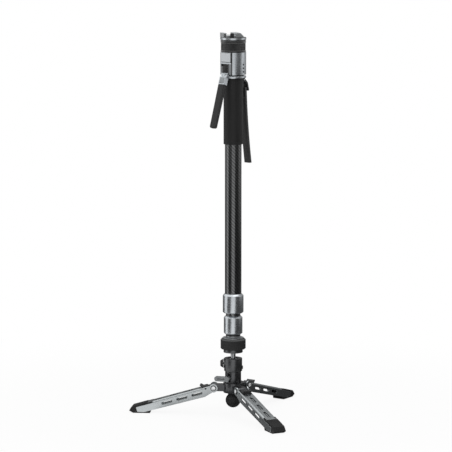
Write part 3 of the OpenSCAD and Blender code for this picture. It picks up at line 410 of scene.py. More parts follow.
# Leg catches: small moulded thumb pieces on pegs between a leg's cheeks, sprung against the hub. They are
# glass-filled plastic with a fine spark-eroded skin. Their grey is set darker than their own colour, partly
# as painted shade for the front catch, which lies in its leg's shadow.
# a little darker than the plastic's own grey: partly painted shade
catch_grey = (0.024, 0.0245, 0.025)
catch_sheen = (0.040, 0.0405, 0.041)
catch_plastic = finish("catch_plastic", catch_grey, catch_sheen, roughness=(0.38, 0.52), cells=1800.0,
                       hills=0.03, shine=0.45)
dress(catch_plastic, "catch_left", "catch_front", "catch_right", rounding=0.5)


# Pan lock: a cast wing lever on a steel screw through the pan cylinder's wall. The casting is tumbled, so
# its edges are round, and anodised the grey of the legs but duller, with a black line of painted shade
# along the wing that stands for a shaded slot.
wing_grey = (0.30, 0.316, 0.322)
wing_light = (0.37, 0.386, 0.392)
wing_from_screw = 75.0
wing_turn = lock_turn - wing_from_screw
wing_line = {"ahead": (10.0 * mm, 25.0 * mm), "beside": everywhere, "height": (58.4 * mm, 59.6 * mm)}
cast_grey = finish("cast_grey", wing_grey, wing_light, roughness=(0.38, 0.48), cells=700.0, hills=0.02,
                   Metallic=1.0)
# painted shade: a black line along the middle of the wing
paint_box(cast_grey, painted_shade_black, wing_turn, **wing_line)
dress(cast_grey, "pan_lock_lever", rounding=1.3)
dress(turned_steel, "pan_lock_screw", rounding=0.2)


# Ball housing and its retaining ring: turned aluminium, anodised satin black like the hub, with fine
# lines left by the tool round it. The face under the tension knob has painted shade.
housing_black = (0.100, 0.103, 0.106)
housing_sheen = (0.145, 0.149, 0.153)
knob_turn = 180.0
knob_seat = {"ahead": (17.2 * mm, 20.0 * mm), "beside": (-11.0 * mm, 11.0 * mm),
             "height": (75.0 * mm, 98.0 * mm)}
turned_black = finish("turned_black", housing_black, housing_sheen, roughness=(0.28, 0.38), cells=90.0,
                      stretch=45.0, hills=0.004, Metallic=0.95)
# painted shade on the face under the tension knob
paint_box(turned_black, painted_shade_black, knob_turn, **knob_seat)
dress(turned_black, "ball_housing", "ball_retainer", rounding=0.8)


# Housing screw: a cap screw with a hexagon socket, of steel with a black oxide finish, screwed into a
# shallow counterbore at the ball housing's right side. Its turned head stands for the plain solid.
screw_low, screw_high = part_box("housing_screw")
screw_radius = (screw_high.y - screw_low.y) / 2
screw_middle = (screw_low.x, (screw_low.y + screw_high.y) / 2, (screw_low.z + screw_high.z) / 2)
screw_sides = 72
screw_edge_share = 0.12
socket_share = 0.5
socket_mouth_share = 1.04
socket_floor_share = 0.4
oxide_black = (0.016, 0.016, 0.017)
oxide_sheen = (0.034, 0.034, 0.036)


def socket_head(radius, height, socket):
    """A screw head turned about its own axis, with a hexagon socket: rows run up the rim, over a broken
    edge, in to the hexagon r = s / cos(a mod 60 - 30 degrees), and down to the socket's floor."""
    six = socket / np.cos(np.mod(full_turn(screw_sides), math.pi / 3) - math.pi / 6)
    edge = screw_edge_share * radius
    whole = np.ones(screw_sides)
    reach = [radius * whole, radius * whole, (radius - edge / 3) * whole, (radius - edge) * whole,
             socket_mouth_share * six, six, six]
    rise = [0.0, height - edge, height - edge / 3, height, height, height - edge / 2,
            socket_floor_share * height]
    return revolve(np.array(reach), np.array(rise)[:, None], screw_sides)


black_oxide = finish("black_oxide", oxide_black, oxide_sheen, roughness=(0.3, 0.45), cells=1500.0,
                     Metallic=0.6)
housing_head = socket_head(screw_radius, screw_high.x - screw_low.x, socket_share * screw_radius)
housing_head = aim(housing_head, screw_middle, (0.0, 1.0, 0.0), (0.0, 0.0, 1.0))
fit(skin("housing_socket_screw", housing_head, crease=25.0), "pan_housing", "steel", black_oxide,
    "housing_screw")


# Tension knob: a moulded knob on the screw that presses the ball's liner. Its wall narrows outwards and
# has rounded flutes for the fingers, and a turned steel screw runs through it.
knob_low, knob_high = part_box("tension_knob")
knob_radius = (knob_high.y - knob_low.y) / 2
knob_face_radius = 5.4 * mm
knob_thickness = knob_high.x - knob_low.x
knob_edge = 0.8 * mm
knob_spot = (knob_high.x, 0.0, (knob_low.z + knob_high.z) / 2)
knob_black = (0.014, 0.014, 0.0145)
knob_sheen = (0.026, 0.026, 0.027)
flute_depth = 0.45 * mm
flute_sides = 10
flutes = 22


def knob_surface():
    """A cone frustum along its own axis whose wall is fluted: r = r(h) - d (1 + cos(n a)) / 2, with
    rounded rims and a shallow dish in its outer face."""
    sides = flute_sides * flutes
    angle = full_turn(sides)
    share = np.array([0.0, 0.0, 0.06, 0.12, 0.5, 0.82, 0.92, 0.98, 1.0, 1.0, 0.93, 0.93])
    wall = knob_radius + (knob_face_radius - knob_radius) * share
    cut = np.array([0.5, 0.2, 0.05, 0.0, 0.0, 0.0, 0.25, 0.6, 1.0, 2.4, 2.9, 6.0]) * knob_edge
    depth = np.array([0.0, 0.3, 0.8, 1.0, 1.0, 1.0, 0.8, 0.4, 0.0, 0.0, 0.0, 0.0]) * flute_depth
    reach = (wall - cut)[:, None] - depth[:, None] * (1.0 + np.cos(flutes * angle))[None, :] / 2
    return revolve(reach, (share * knob_thickness)[:, None], sides)


moulded_black = finish("moulded_black", knob_black, knob_sheen, roughness=(0.42, 0.58), cells=1800.0,
                       hills=0.03, shine=0.4)
fit(skin("fluted_knob", aim(knob_surface(), knob_spot, (0.0, 0.0, 1.0), (0.0, 1.0, 0.0)), crease=30.0),
    "tension", "black_plastic", moulded_black, "tension_knob")
dress(turned_steel, "tension_screw", rounding=0.2)


# Ball, stem and liner: a ground and polished steel ball with its neck and thread in one piece, in a split
# nylon liner inside the housing.
stem_dark = (0.40, 0.41, 0.42)
stem_light = (0.48, 0.49, 0.50)
stem_steel = finish("stem_steel", stem_dark, stem_light, roughness=(0.14, 0.20), cells=200.0,
                    Metallic=1.0)
dress(stem_steel, "ball_stem", rounding=0.2)
dress(nylon, "ball_liner", rounding=0.1)


# Column seat: the black adapter screwed on the ball's thread, and over the lock ring a grey washer and
# the grey stop that the lower collar comes down on, with painted shade where the collar's lip shades it.
stop_low, stop_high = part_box("stop_sleeve")
seat_grey = (0.34, 0.355, 0.365)
seat_light = (0.42, 0.435, 0.445)
stop_shade = 3.6 * mm


def paint_band(paint, low, high, colour):
    """Lays a colour over a finish between two heights."""
    paint_box(paint, colour, 0.0, everywhere, everywhere, (low, high))


seat_metal = finish("seat_metal", seat_grey, seat_light, roughness=(0.36, 0.46), cells=150.0,
                    stretch=20.0, Metallic=0.9)
# painted shade on the stop's upper part, under the collar's lip
paint_band(seat_metal, stop_low.z + stop_shade, stop_high.z + mm, painted_shade_black)
dress(turned_black, "base_adapter", rounding=1.2)
dress(seat_metal, "ring_washer", rounding=0.35)
dress(seat_metal, "stop_sleeve", rounding=0.5)


# Lock ring: a rubber-covered ring turned by hand to lock the column's foot. Its middle is knurled with
# fine upright ribs, and its chamfered rims are plain, the upper one painted a lighter grey as a painted
# highlight.
lock_low, lock_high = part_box("lock_ring")
lock_radius = (lock_high.x - lock_low.x) / 2
lock_rise = lock_high.z - lock_low.z
lock_bore = 11.0 * mm
lock_chamfer = 2.6 * mm
lock_half = lock_chamfer / 2
lock_lip = 0.3 * mm
lock_crown = lock_chamfer - lock_lip
lock_shoulder = lock_rise - lock_chamfer
lock_ribs_start = (0.8 * mm, 1.4 * mm)
lock_ribs_stop = (1.8 * mm, 1.2 * mm)
lock_ribs = 76
lock_rib_depth = 0.35 * mm
ring_sides = 8
highlight_height = 2.4 * mm
lock_black = (0.011, 0.011, 0.0113)
lock_worn = (0.022, 0.022, 0.0225)
shoulder_highlight_grey = (0.075, 0.077, 0.078)


def ribbed_ring(bore, heights, radii, shares, count, depth):
    """A ring turned from a profile of heights and radii: r = r(h) - s(h) d (1 + cos(n a)) / 2 where the
    share s of the rib depth d is set along the profile. The bore closes it."""
    sides = ring_sides * count
    wave = (1.0 + np.cos(count * full_turn(sides)))[None, :]
    wall = radii[:, None] - (shares * depth)[:, None] * wave / 2
    hole = np.full((2, sides), bore)
    rise = np.concatenate([heights, heights[[-1, 0]]])[:, None]
    return revolve(np.concatenate([wall, hole]), rise, sides)


lock_heights = np.array([0.0, lock_half, lock_half + lock_ribs_start[0], lock_half + lock_ribs_start[1],
                         lock_shoulder - lock_ribs_stop[0], lock_shoulder - lock_ribs_stop[1],
                         lock_shoulder, lock_rise - lock_lip, lock_rise])
lock_radii = lock_radius - np.array([lock_half, 0.0, 0.0, 0.0, 0.0, 0.0, 0.0, lock_crown, lock_chamfer])
lock_shares = np.array([0.0, 0.0, 0.0, 1.0, 1.0, 0.0, 0.0, 0.0, 0.0])
lock_rubber = finish("lock_rubber", lock_black, lock_worn, roughness=(0.5, 0.66), cells=1100.0,
                     hills=0.04, shine=0.35)
# painted highlight: the upper rim a lighter grey
paint_band(lock_rubber, lock_high.z - highlight_height, lock_high.z + mm, shoulder_highlight_grey)
lock_profile = ribbed_ring(lock_bore, lock_low.z + lock_heights, lock_radii, lock_shares, lock_ribs,
                           lock_rib_depth)
fit(skin("knurled_lock_ring", lock_profile, ring=True, crease=28.0), "seat_ring", "rubber", lock_rubber,
    "lock_ring")


# Tubes: three carbon-fibre tubes, rolled from twill cloth and clear-coated. The outer one shows at full
# length, the middle and thin ones between the collars, and all of them when the column is drawn out.
tube_radius = 16.0 * mm
tows_round = 60
tow_width = 2.0 * math.pi * tube_radius / tows_round
tow_relief = 0.07 * mm
weft_black = (0.020, 0.021, 0.022)
warp_grey = (0.120, 0.124, 0.127)
tow_roughness = (0.34, 0.22)
fibre_cells = 2600.0
fibre_stretch = 0.12
fibre_shade = 0.3
clear_coat = {"Metallic": 0.95, "Coat_Weight": 1.0, "Coat_IOR": 1.75, "Coat_Roughness": 0.06}


def twill(name):
    """Two-by-two twill on a tube: angle and height are counted in tows, i = floor(a n / 2 pi) and
    j = floor(z / t). A lengthwise tow lies on top where (i + j) mod 4 is under 2, and every tow is rounded
    across its width."""
    paint = bpy.data.materials.new(name)
    paint.use_nodes = True
    tree = paint.node_tree
    part = wire(tree, "ShaderNodeSeparateXYZ", Vector=object_spot(tree)).outputs
    turn = maths(tree, "ARCTAN2", part["Y"], part["X"])
    across = maths(tree, "MULTIPLY_ADD", turn, tows_round / (2.0 * math.pi), float(tows_round))
    along = maths(tree, "DIVIDE", part["Z"], tow_width)
    step = maths(tree, "ADD", maths(tree, "FLOOR", across), maths(tree, "FLOOR", along))
    on_top = maths(tree, "LESS_THAN", maths(tree, "MODULO", step, 4.0), 1.5)
    across_part = maths(tree, "PINGPONG", across, 0.5)
    along_part = maths(tree, "PINGPONG", along, 0.5)
    crown = wire(tree, "ShaderNodeMix", i0=on_top, i2=along_part, i3=across_part)
    relief = wire(tree, "ShaderNodeBump", Height=crown.outputs[0], Distance=tow_relief)
    fibres = grain(tree, fibre_cells, fibre_stretch, detail=2.0)
    level = maths(tree, "ADD", on_top, maths(tree, "MULTIPLY_ADD", fibres, fibre_shade, -fibre_shade / 2))
    polish = wire(tree, "ShaderNodeMapRange", Value=level, To_Min=tow_roughness[0], To_Max=tow_roughness[1])
    colour = blend(tree, level, (*weft_black, 1.0), (*warp_grey, 1.0))
    feed(tree.nodes["Principled BSDF"], Base_Color=colour, Roughness=polish.outputs[0],
         Normal=relief.outputs[0], **clear_coat)
    return paint


dress(twill("carbon_twill"), "tube_1", "tube_2", "tube_3", rounding=0.2)


# Tube guides, locks and release rod: nylon guide sleeves and lock shoes on brass cores inside the tubes,
# and the steel rod from the lever. They show only where a tube is cut open.
brass_dark = (0.50, 0.34, 0.12)
brass_light = (0.62, 0.44, 0.18)
brass = finish("brass", brass_dark, brass_light, roughness=(0.25, 0.36), cells=150.0, stretch=25.0,
               Metallic=1.0)
dress(nylon, "bush_3", "bush_2", "lock_shoes_3", "lock_shoes_2", rounding=0.2)
dress(brass, "lock_core_3", "lock_core_2", rounding=0.3)
dress(turned_steel, "pull_rod", rounding=0.2)


# Collars: turned aluminium collars glued to the tubes' feet, with a black wiper in each lip. They are
# anodised clear over a fine turned finish, so they mirror the room in upright bands.
collar_silver = (0.60, 0.635, 0.665)
collar_light = (0.68, 0.715, 0.745)
turned_silver = finish("turned_silver", collar_silver, collar_light, roughness=(0.25, 0.30), cells=60.0,
                       stretch=70.0, hills=0.0008, Metallic=1.0)
dress(turned_silver, "collar_1", "collar_2", rounding=0.6)
dress(black_nylon, "seal_1", "seal_2", rounding=0.15)


# Grip sleeve: a matte rubber sleeve drawn over the main tube under the head, with rounded ends and a fine
# lengthwise grain.
sleeve_low, sleeve_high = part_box("grip_sleeve")
sleeve_radius = (sleeve_high.x - sleeve_low.x) / 2
sleeve_bore = 16.02 * mm
sleeve_round = 0.9 * mm
sleeve_sides = 144
bend_steps = 6
sleeve_black = (0.009, 0.009, 0.0091)
sleeve_grey = (0.014, 0.014, 0.0142)


def sleeve_surface():
    """A straight sleeve with rounded ends: a quarter circle of radius e joins its wall to each end."""
    bend = np.linspace(0.0, math.pi / 2, bend_steps)
    low_r = sleeve_radius - sleeve_round * (1.0 - np.sin(bend))
    low_z = sleeve_low.z + sleeve_round * (1.0 - np.cos(bend))
    high_z = sleeve_high.z - sleeve_round * (1.0 - np.cos(bend))
    reach = np.concatenate([[sleeve_bore], low_r, low_r[::-1], [sleeve_bore]])
    rise = np.concatenate([[sleeve_low.z], low_z, high_z[::-1], [sleeve_high.z]])
    return revolve(reach[:, None], rise[:, None], sleeve_sides)


sleeve_rubber = finish("sleeve_rubber", sleeve_black, sleeve_grey, roughness=(0.48, 0.62), cells=700.0,
                       stretch=0.05, hills=0.02, shine=0.3, Sheen_Weight=0.04)
fit(skin("grip_skin", sleeve_surface(), ring=True), "upper", "rubber", sleeve_rubber, "grip_sleeve")


# Head body and ring: an aluminium head turned and milled with a flat control face, clamped on the main
# tube, and a bright ring that the palm bar hangs from. The head's recess and the groove under it are
# painted black as painted shade. Its control face is darker grey right of the recess, with painted
# shade in a strip beside the recess and along a line at the face's right edge.
head_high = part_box("head_body")[1]
ring_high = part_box("lower_ring")[1]
head_silver = (0.57, 0.605, 0.635)
head_light = (0.64, 0.675, 0.705)
face_grey = (0.20, 0.212, 0.222)
face_shade_dark = (0.045, 0.047, 0.049)
control_turn = 232.0
control_face = 20.5 * mm
face_skin = 0.1 * mm
face_line = 10.4 * mm
face_right = 13.5 * mm
shade_right = 5.6 * mm
recess_left = -13.1 * mm
recess_right = 3.1 * mm
recess_depth = 4.0 * mm
recess_from_foot = 3.5 * mm
recess_tall = 17.4 * mm
groove_radius = 20.3 * mm
groove_height = 2.4 * mm
groove_past = 0.05 * mm
head_foot = ring_high.z + groove_height
recess_low = head_foot + recess_from_foot
recess_high = recess_low + recess_tall


def groove(paint, radius, top):
    """One under a height and within a radius of the column's axis, which is the groove under the head."""
    tree = paint.node_tree
    part = wire(tree, "ShaderNodeSeparateXYZ", Vector=object_spot(tree)).outputs
    level = wire(tree, "ShaderNodeCombineXYZ", X=part["X"], Y=part["Y"])
    reach = wire(tree, "ShaderNodeVectorMath", operation="LENGTH", i0=level.outputs[0]).outputs["Value"]
    within = maths(tree, "LESS_THAN", reach, radius)
    return maths(tree, "MULTIPLY", within, maths(tree, "LESS_THAN", part["Z"], top))


head_anodised = finish("head_anodised", head_silver, head_light, roughness=(0.26, 0.31), cells=60.0,
                       stretch=60.0, hills=0.0008, Metallic=1.0)
lever_anodised = head_anodised.copy()
flat = (control_face - face_skin, control_face + face_skin)
behind = (control_face - recess_depth, control_face - face_skin)
face_marks = [(flat, (recess_right, face_line), (head_foot, recess_high), face_grey),
              (flat, (recess_right, shade_right), (head_foot, recess_high), face_shade_dark),
              (flat, (face_line, face_right), (head_foot, head_high.z), face_shade_dark),
              (behind, (recess_left, recess_right), (recess_low, recess_high), painted_shade_black)]
# a darker grey band right of the recess, painted shade in a strip beside it and along a line at the right
# edge, and painted shade inside the recess
for ahead, beside, height, colour in face_marks:
    paint_box(head_anodised, colour, control_turn, ahead, beside, height)
# painted shade in the groove under the head
paint_over(head_anodised, groove(head_anodised, groove_radius, head_foot + groove_past), painted_shade_black)
dress(head_anodised, "head_body", rounding=0.45)
dress(turned_silver, "lower_ring", rounding=0.8)


# Head screws: a row of three small socket screws at the head's right side that clamp it on the tube. They
# are steel with the black oxide finish of the housing screw, and stand a little proud.
row_turn = 322.0
row_radius = 1.6 * mm
row_socket_share = 0.55
row_reach = 24.2 * mm
row_proud = 0.8 * mm
row_count = 3
row_space = 6.7 * mm
row_from_foot = 6.0 * mm
row_start = head_foot + row_from_foot
for place in range(row_count):
    outward = compass(row_turn)
    spot = row_reach * outward + (row_start + place * row_space) * upward
    row_head = socket_head(row_radius, row_proud, row_socket_share * row_radius)
    row_head = aim(row_head, spot, np.cross(upward, outward), upward)
    fit(skin(f"head_screw_{place + 1}", row_head, crease=25.0), "upper", "steel", black_oxide,
        *(["body_screws"] if place == 0 else []))


# Squeeze lever: a milled aluminium fork on a steel pin through the head's lug, with a matte inlay in its
# face, and a black rubber handle moulded over its tang. A thin black pad under the inlay shows round its
# edge as a painted shadow line.
lever_pin_out = 26.0 * mm
lever_pin_drop = 1.5 * mm
lever_pin_height = head_foot - lever_pin_drop
lever_lean = 20.0
lever_width = 14.0 * mm
arm_inner = 3.5 * mm
arm_outer = 6.0 * mm
arm_length = 18.0 * mm
inlay_width = 10.0 * mm
inlay_length = 10.5 * mm
inlay_corner = 1.3 * mm
inlay_edge = 0.15 * mm
inlay_proud = 0.25 * mm
inlay_sunk = 0.1 * mm
inlay_middle = 10.2 * mm
inlay_dark = (0.30, 0.32, 0.33)
inlay_light = (0.37, 0.39, 0.40)
gap_over = 0.9 * mm
gap_corner = 1.6 * mm
gap_proud = 0.14 * mm
gap_edge = 0.03 * mm
lever_out = compass(control_turn)
lever_across = np.cross(upward, lever_out)
lever_up = math.cos(math.radians(lever_lean)) * upward - math.sin(math.radians(lever_lean)) * lever_out
lever_face = np.cross(lever_across, lever_up)
lever_pin = lever_pin_out * lever_out + lever_pin_height * upward
handle_length = 85.0 * mm
handle_thickness = 7.5 * mm
handle_taper = 3.0 * mm
handle_swell = 0.5 * mm
handle_sides = 64
handle_steps = (41, 8)
tip_start = 0.96
tip_share = 0.04
tip_flat = 0.55
tip_round = 0.45
tip_first = 0.1
rim_share = 0.02
rim_inset = 0.04
pad_cut = 0.3
handle_black = (0.020, 0.020, 0.0203)
handle_worn = (0.034, 0.034, 0.0345)


def oblong(width, length, corner, count=12):
    """The outline of a rectangle round the origin, whose corners are quarter circles of radius c."""
    bend = np.linspace(0.0, math.pi / 2, count)
    cos, sin = np.cos(bend), np.sin(bend)
    quarters = np.array([np.concatenate([cos, -sin, -cos, sin]), np.concatenate([sin, cos, -sin, -cos])]).T
    signs = np.repeat([[1, 1], [-1, 1], [-1, -1], [1, -1]], count, axis=0)
    return signs * (np.array([width, length]) / 2 - corner) + corner * quarters


def pad(width, length, corner, proud, edge):
    """A low pad over an oblong: its rim rises, rounds over by the radius e and runs in to a flat top."""
    rows = []
    cut = pad_cut * edge
    for inset, rise in ((0.0, 0.0), (0.0, proud - edge), (cut, proud - cut), (edge, proud)):
        outline = oblong(width - 2 * inset, length - 2 * inset, corner - inset)
        rows.append(np.column_stack([outline, np.full(len(outline), rise)]))
    return np.array(rows)


def handle_surface():
    """The handle as a loft along the lever, with the superellipse |x/a|^4 + |y/b|^4 = 1 as its section.
    It is as wide as the lever, its inner face is straight, the outer one runs in, and its end is round."""
    bend = np.sin(np.linspace(tip_first, math.pi / 2, handle_steps[1]))
    share = np.concatenate([np.linspace(0.0, tip_start, handle_steps[0]), tip_start + tip_share * bend])
    tip = np.clip((share - tip_start) / tip_share, 0.0, 1.0)
    shrink = tip_flat + tip_round * np.sqrt(np.clip(1.0 - tip ** 2, 0.0, 1.0))
    top = 1.0 - rim_inset * np.clip(1.0 - share / rim_share, 0.0, 1.0) ** 2
    outer = handle_thickness - handle_taper * share + handle_swell * share ** 2
    half = (outer + arm_inner) / 2
    middle = (outer - arm_inner) / 2
    angle = full_turn(handle_sides)
    corner = (np.cos(angle) ** 4 + np.sin(angle) ** 4) ** -0.25
    across = (lever_width / 2 * shrink * top)[:, None] * (corner * np.cos(angle))[None, :]
    out = middle[:, None] + (half * shrink * top)[:, None] * (corner * np.sin(angle))[None, :]
    down = np.broadcast_to((-arm_length - handle_length * share)[:, None], across.shape)
    return np.stack([across, down, out], axis=-1)


inlay_grey = finish("inlay_grey", inlay_dark, inlay_light, roughness=(0.42, 0.5), cells=1600.0,
                    hills=0.01, Metallic=1.0)
inlay_spot = lever_pin - inlay_middle * lever_up + (arm_outer - inlay_sunk) * lever_face
# painted shadow: a thin black pad a little wider than the inlay, seen as a dark line round it
shadow_gap = pad(inlay_width + gap_over, inlay_length + gap_over, gap_corner, gap_proud, gap_edge)
fit(skin("lever_inlay_shadow_line", aim(shadow_gap, inlay_spot, lever_across, lever_up)), "lever", "black_plastic",
    black_nylon)
inlay = pad(inlay_width, inlay_length, inlay_corner, inlay_proud + inlay_sunk, inlay_edge)
fit(skin("lever_inlay", aim(inlay, inlay_spot, lever_across, lever_up)), "lever", "silver_metal",
    inlay_grey)
dress(lever_anodised, "lever_arm", rounding=0.8)
dress(turned_steel, "lever_pin", rounding=0.25)
handle_rubber = finish("handle_rubber", handle_black, handle_worn, roughness=(0.5, 0.64), cells=1300.0,
                       hills=0.05, shine=0.3)
fit(skin("lever_handle", aim(handle_surface(), lever_pin, lever_across, lever_up), crease=50.0),
    "lever", "rubber", handle_rubber, "lever_grip")


# Palm bar and thumb latch: a moulded bar that hangs from the bright ring behind the sleeve and steadies
# the palm, and a latch on a cross pin at the bar's top. Both are black glass-filled plastic.
palm_black = (0.026, 0.026, 0.0265)
palm_sheen = (0.040, 0.040, 0.0405)
palm_plastic = finish("palm_plastic", palm_black, palm_sheen, roughness=(0.42, 0.55), cells=1600.0,
                      hills=0.03, shine=0.4)
dress(palm_plastic, "palm_bar", rounding=1.2)
dress(moulded_black, "thumb_latch", rounding=0.7)
dress(turned_steel, "latch_pin", rounding=0.25)


# Push button and slide catch: the silver button that frees the camera plate, and the ribbed black catch
# under it that blocks the lever. Both run in pockets milled in the control face. The button's lower and
# right edges have painted shade, the catch has painted shade at its lower and right sides, and its left
# side is painted a lighter grey.
button_low, button_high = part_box("release_button")
slide_low, slide_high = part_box("slide_catch")
button_dark = (0.66, 0.69, 0.715)
button_light = (0.72, 0.75, 0.775)
button_shade_band = 1.2 * mm
button_shade_edge = 10.9 * mm
slide_left_grey = (0.15, 0.153, 0.156)
left_grey_edge = -9.0 * mm
shade_left = -7.0 * mm
shade_height = 4.0 * mm
shade_side = -3.0 * mm
button_silver = finish("button_silver", button_dark, button_light, roughness=(0.34, 0.42), cells=1500.0,
                       hills=0.006, Metallic=1.0)
# painted shade along the button's lower and right edges
paint_band(button_silver, button_low.z - mm, button_low.z + button_shade_band, face_shade_dark)
paint_box(button_silver, face_shade_dark, control_turn, everywhere, (button_shade_edge, far),
          (button_low.z, button_high.z))
dress(button_silver, "release_button", rounding=1.0)
slide_plastic = catch_plastic.copy()
# the catch's left side a lighter grey, and painted shade at its lower and right sides
slide_marks = [((-far, left_grey_edge), (slide_low.z, slide_high.z), slide_left_grey),
               ((shade_left, far), (slide_low.z, slide_low.z + shade_height), painted_shade_black),
               ((shade_side, far), (slide_low.z, slide_high.z), painted_shade_black)]
for beside, height, colour in slide_marks:
    paint_box(slide_plastic, colour, control_turn, everywhere, beside, height)
dress(slide_plastic, "slide_catch", rounding=0.3)


# Turning ring: the rubber ring on the head's post that moves the clamp's jaw. A ribbed band is sunk
# between two plain rims, with thin grey lines of painted highlight along their edges, and a groove runs
# round the upper rim.
turn_low, turn_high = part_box("clamp_ring")
turn_radius = (turn_high.x - turn_low.x) / 2
turn_bore = 17.1 * mm
turn_ribs = 88
turn_rib_depth = 0.4 * mm
turn_rise = turn_high.z - turn_low.z
turn_steps = np.array([0.0, 0.3, 0.8, 2.6, 3.1, 3.3, 3.5, 10.3, 17.1, 17.3, 17.5, 18.0, 19.9, 20.1, 20.5,
                       20.7, 22.4, 22.9, turn_rise / mm]) * mm
turn_sinks = np.array([0.7, 0.25, 0.0, 0.0, 0.25, 0.8, 0.8, 0.7, 0.8, 0.8, 0.25, 0.0, 0.0, 0.5, 0.5, 0.0,
                       0.0, 0.25, 0.7]) * mm
ribbed_low = 3.4 * mm
ribbed_high = 17.2 * mm
turn_shares = ((turn_steps > ribbed_low) & (turn_steps < ribbed_high)).astype(float)
turn_black = (0.006, 0.006, 0.0062)
turn_worn = (0.014, 0.014, 0.0144)
edge_highlight_grey = (0.085, 0.086, 0.087)
edge_half = 0.3 * mm
highlight_rises = (2.85 * mm, 17.75 * mm, 20.6 * mm)
turn_rubber = finish("turn_rubber", turn_black, turn_worn, roughness=(0.34, 0.46), cells=1200.0,
                     hills=0.03, shine=0.4, Sheen_Weight=0.9, Sheen_Roughness=0.4)
# painted highlight: thin grey lines along the rims' edges
for rise in highlight_rises:
    paint_band(turn_rubber, turn_low.z + rise - edge_half, turn_low.z + rise + edge_half, edge_highlight_grey)
turn_profile = ribbed_ring(turn_bore, turn_low.z + turn_steps, turn_radius - turn_sinks, turn_shares,
                           turn_ribs, turn_rib_depth)
fit(skin("ribbed_turning_ring", turn_profile, ring=True, crease=28.0), "turn_ring", "rubber", turn_rubber,
    "clamp_ring")


# Clamp: a round aluminium base with painted shade on its top under the jaws, a fixed and a sliding jaw
# that hold a dovetail camera plate, and a black stop at the slot's near end, partly painted shade for
# the slot's shaded undercut. Each end of the sliding jaw has a black screw.
clamp_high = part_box("clamp_base")[1]
jaw_low, jaw_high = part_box("fixed_jaw")
slot_turn = 16.0
base_skin = 0.3 * mm
jaw_dark = (0.54, 0.565, 0.58)
jaw_light = (0.62, 0.645, 0.66)
jaw_half_length = 13.0 * mm
jaw_screw_radius = 2.7 * mm
jaw_screw_proud = 0.25 * mm
jaw_screw_sunk = 0.3 * mm
jaw_screw_place = -19.6 * mm
jaw_screw_drop = 0.4 * mm
jaw_screw_height = (jaw_low.z + jaw_high.z) / 2 - jaw_screw_drop
jaw_across = compass(slot_turn)
jaw_along = np.cross(upward, jaw_across)
jaw_silver = finish("jaw_silver", jaw_dark, jaw_light, roughness=(0.32, 0.42), cells=800.0, hills=0.008,
                    Metallic=1.0)
base_silver = turned_silver.copy()
# painted shade on the base's top under the jaws
paint_band(base_silver, clamp_high.z - base_skin, clamp_high.z + mm, painted_shade_black)
dress(base_silver, "clamp_base", rounding=0.8)
dress(jaw_silver, "fixed_jaw", "sliding_jaw", rounding=0.5)
# the black stop, partly painted shade for the slot's shaded undercut
dress(moulded_black, "plate_stop", rounding=0.6)
for end_name, end in (("near", -1.0), ("far", 1.0)):
    end_reach = end * (jaw_half_length - jaw_screw_sunk)
    spot = jaw_screw_place * jaw_across + end_reach * jaw_along + jaw_screw_height * upward
    screw = socket_head(jaw_screw_radius, jaw_screw_proud + jaw_screw_sunk, socket_share * jaw_screw_radius)
    jaw_screw = skin(f"jaw_screw_{end_name}", aim(screw, spot, -end * jaw_across, upward), crease=25.0)
    fit(jaw_screw, "jaw", "steel", black_oxide)


# Floor and surround: a white studio floor under the feet that keeps a soft shadow near them and runs into
# a white surround.
floor_radius = 3.0
floor_sides = 96
shadow_radius = 0.30
shadow_end = 3.0 * shadow_radius
floor_white = 0.92
shadow_share = 0.10
surround_light = 0.62
plain_white = (1.0, 1.0, 1.0, 1.0)
scene.view_settings.view_transform = "Standard"


def seen_white(tree):
    """One for the rays that see the background: straight from the eye, off metal or through glass."""
    path = wire(tree, "ShaderNodeLightPath").outputs
    mirrored = maths(tree, "MAXIMUM", path["Is Camera Ray"], path["Is Glossy Ray"])
    return maths(tree, "MAXIMUM", mirrored, path["Is Transmission Ray"])


def stage_mesh(name, points, faces):
    """A piece of the studio from points and faces, and the empty node tree of its own material."""
    mesh = bpy.data.meshes.new(name)
    mesh.from_pydata(points.tolist(), [], faces.tolist())
    made = bpy.data.objects.new(name, mesh)
    scene.collection.objects.link(made)
    paint = bpy.data.materials.new(name)
    paint.use_nodes = True
    paint.node_tree.nodes.clear()
    mesh.materials.append(paint)
    return made, paint.node_tree


surround = bpy.data.worlds.new("surround")
surround.use_nodes = True
scene.world = surround
sky = surround.node_tree
sky.nodes.clear()
sky_level = wire(sky, "ShaderNodeMapRange", Value=seen_white(sky), To_Min=surround_light, To_Max=1.0)
sky_light = wire(sky, "ShaderNodeBackground", Color=plain_white, Strength=sky_level.outputs[0])
wire(sky, "ShaderNodeOutputWorld", Surface=sky_light.outputs[0])
rim_turn = full_turn(floor_sides)
rim = np.stack([floor_radius * np.cos(rim_turn), floor_radius * np.sin(rim_turn),
                np.full(floor_sides, solid_low.z)], axis=1)
corner = np.arange(floor_sides)
wedges = np.stack([np.full(floor_sides, floor_sides), corner, (corner + 1) % floor_sides], axis=1)
tree = stage_mesh("floor", np.vstack([rim, [(0.0, 0.0, solid_low.z)]]), wedges)[1]
away = wire(tree, "ShaderNodeVectorMath", operation="LENGTH", i0=object_spot(tree))
fade = wire(tree, "ShaderNodeMapRange", interpolation_type="SMOOTHSTEP", Value=away.outputs["Value"],
            From_Min=shadow_radius, From_Max=shadow_end, To_Min=1.0 - shadow_share, To_Max=1.0)
glow = maths(tree, "MULTIPLY", fade.outputs[0], seen_white(tree))
matt = wire(tree, "ShaderNodeBsdfDiffuse", Color=(floor_white, floor_white, floor_white, 1.0))
white = wire(tree, "ShaderNodeEmission", Color=plain_white, Strength=1.0)
mixed = wire(tree, "ShaderNodeMixShader", Fac=glow, i1=matt.outputs[0], i2=white.outputs[0])
wire(tree, "ShaderNodeOutputMaterial", Surface=mixed.outputs[0])


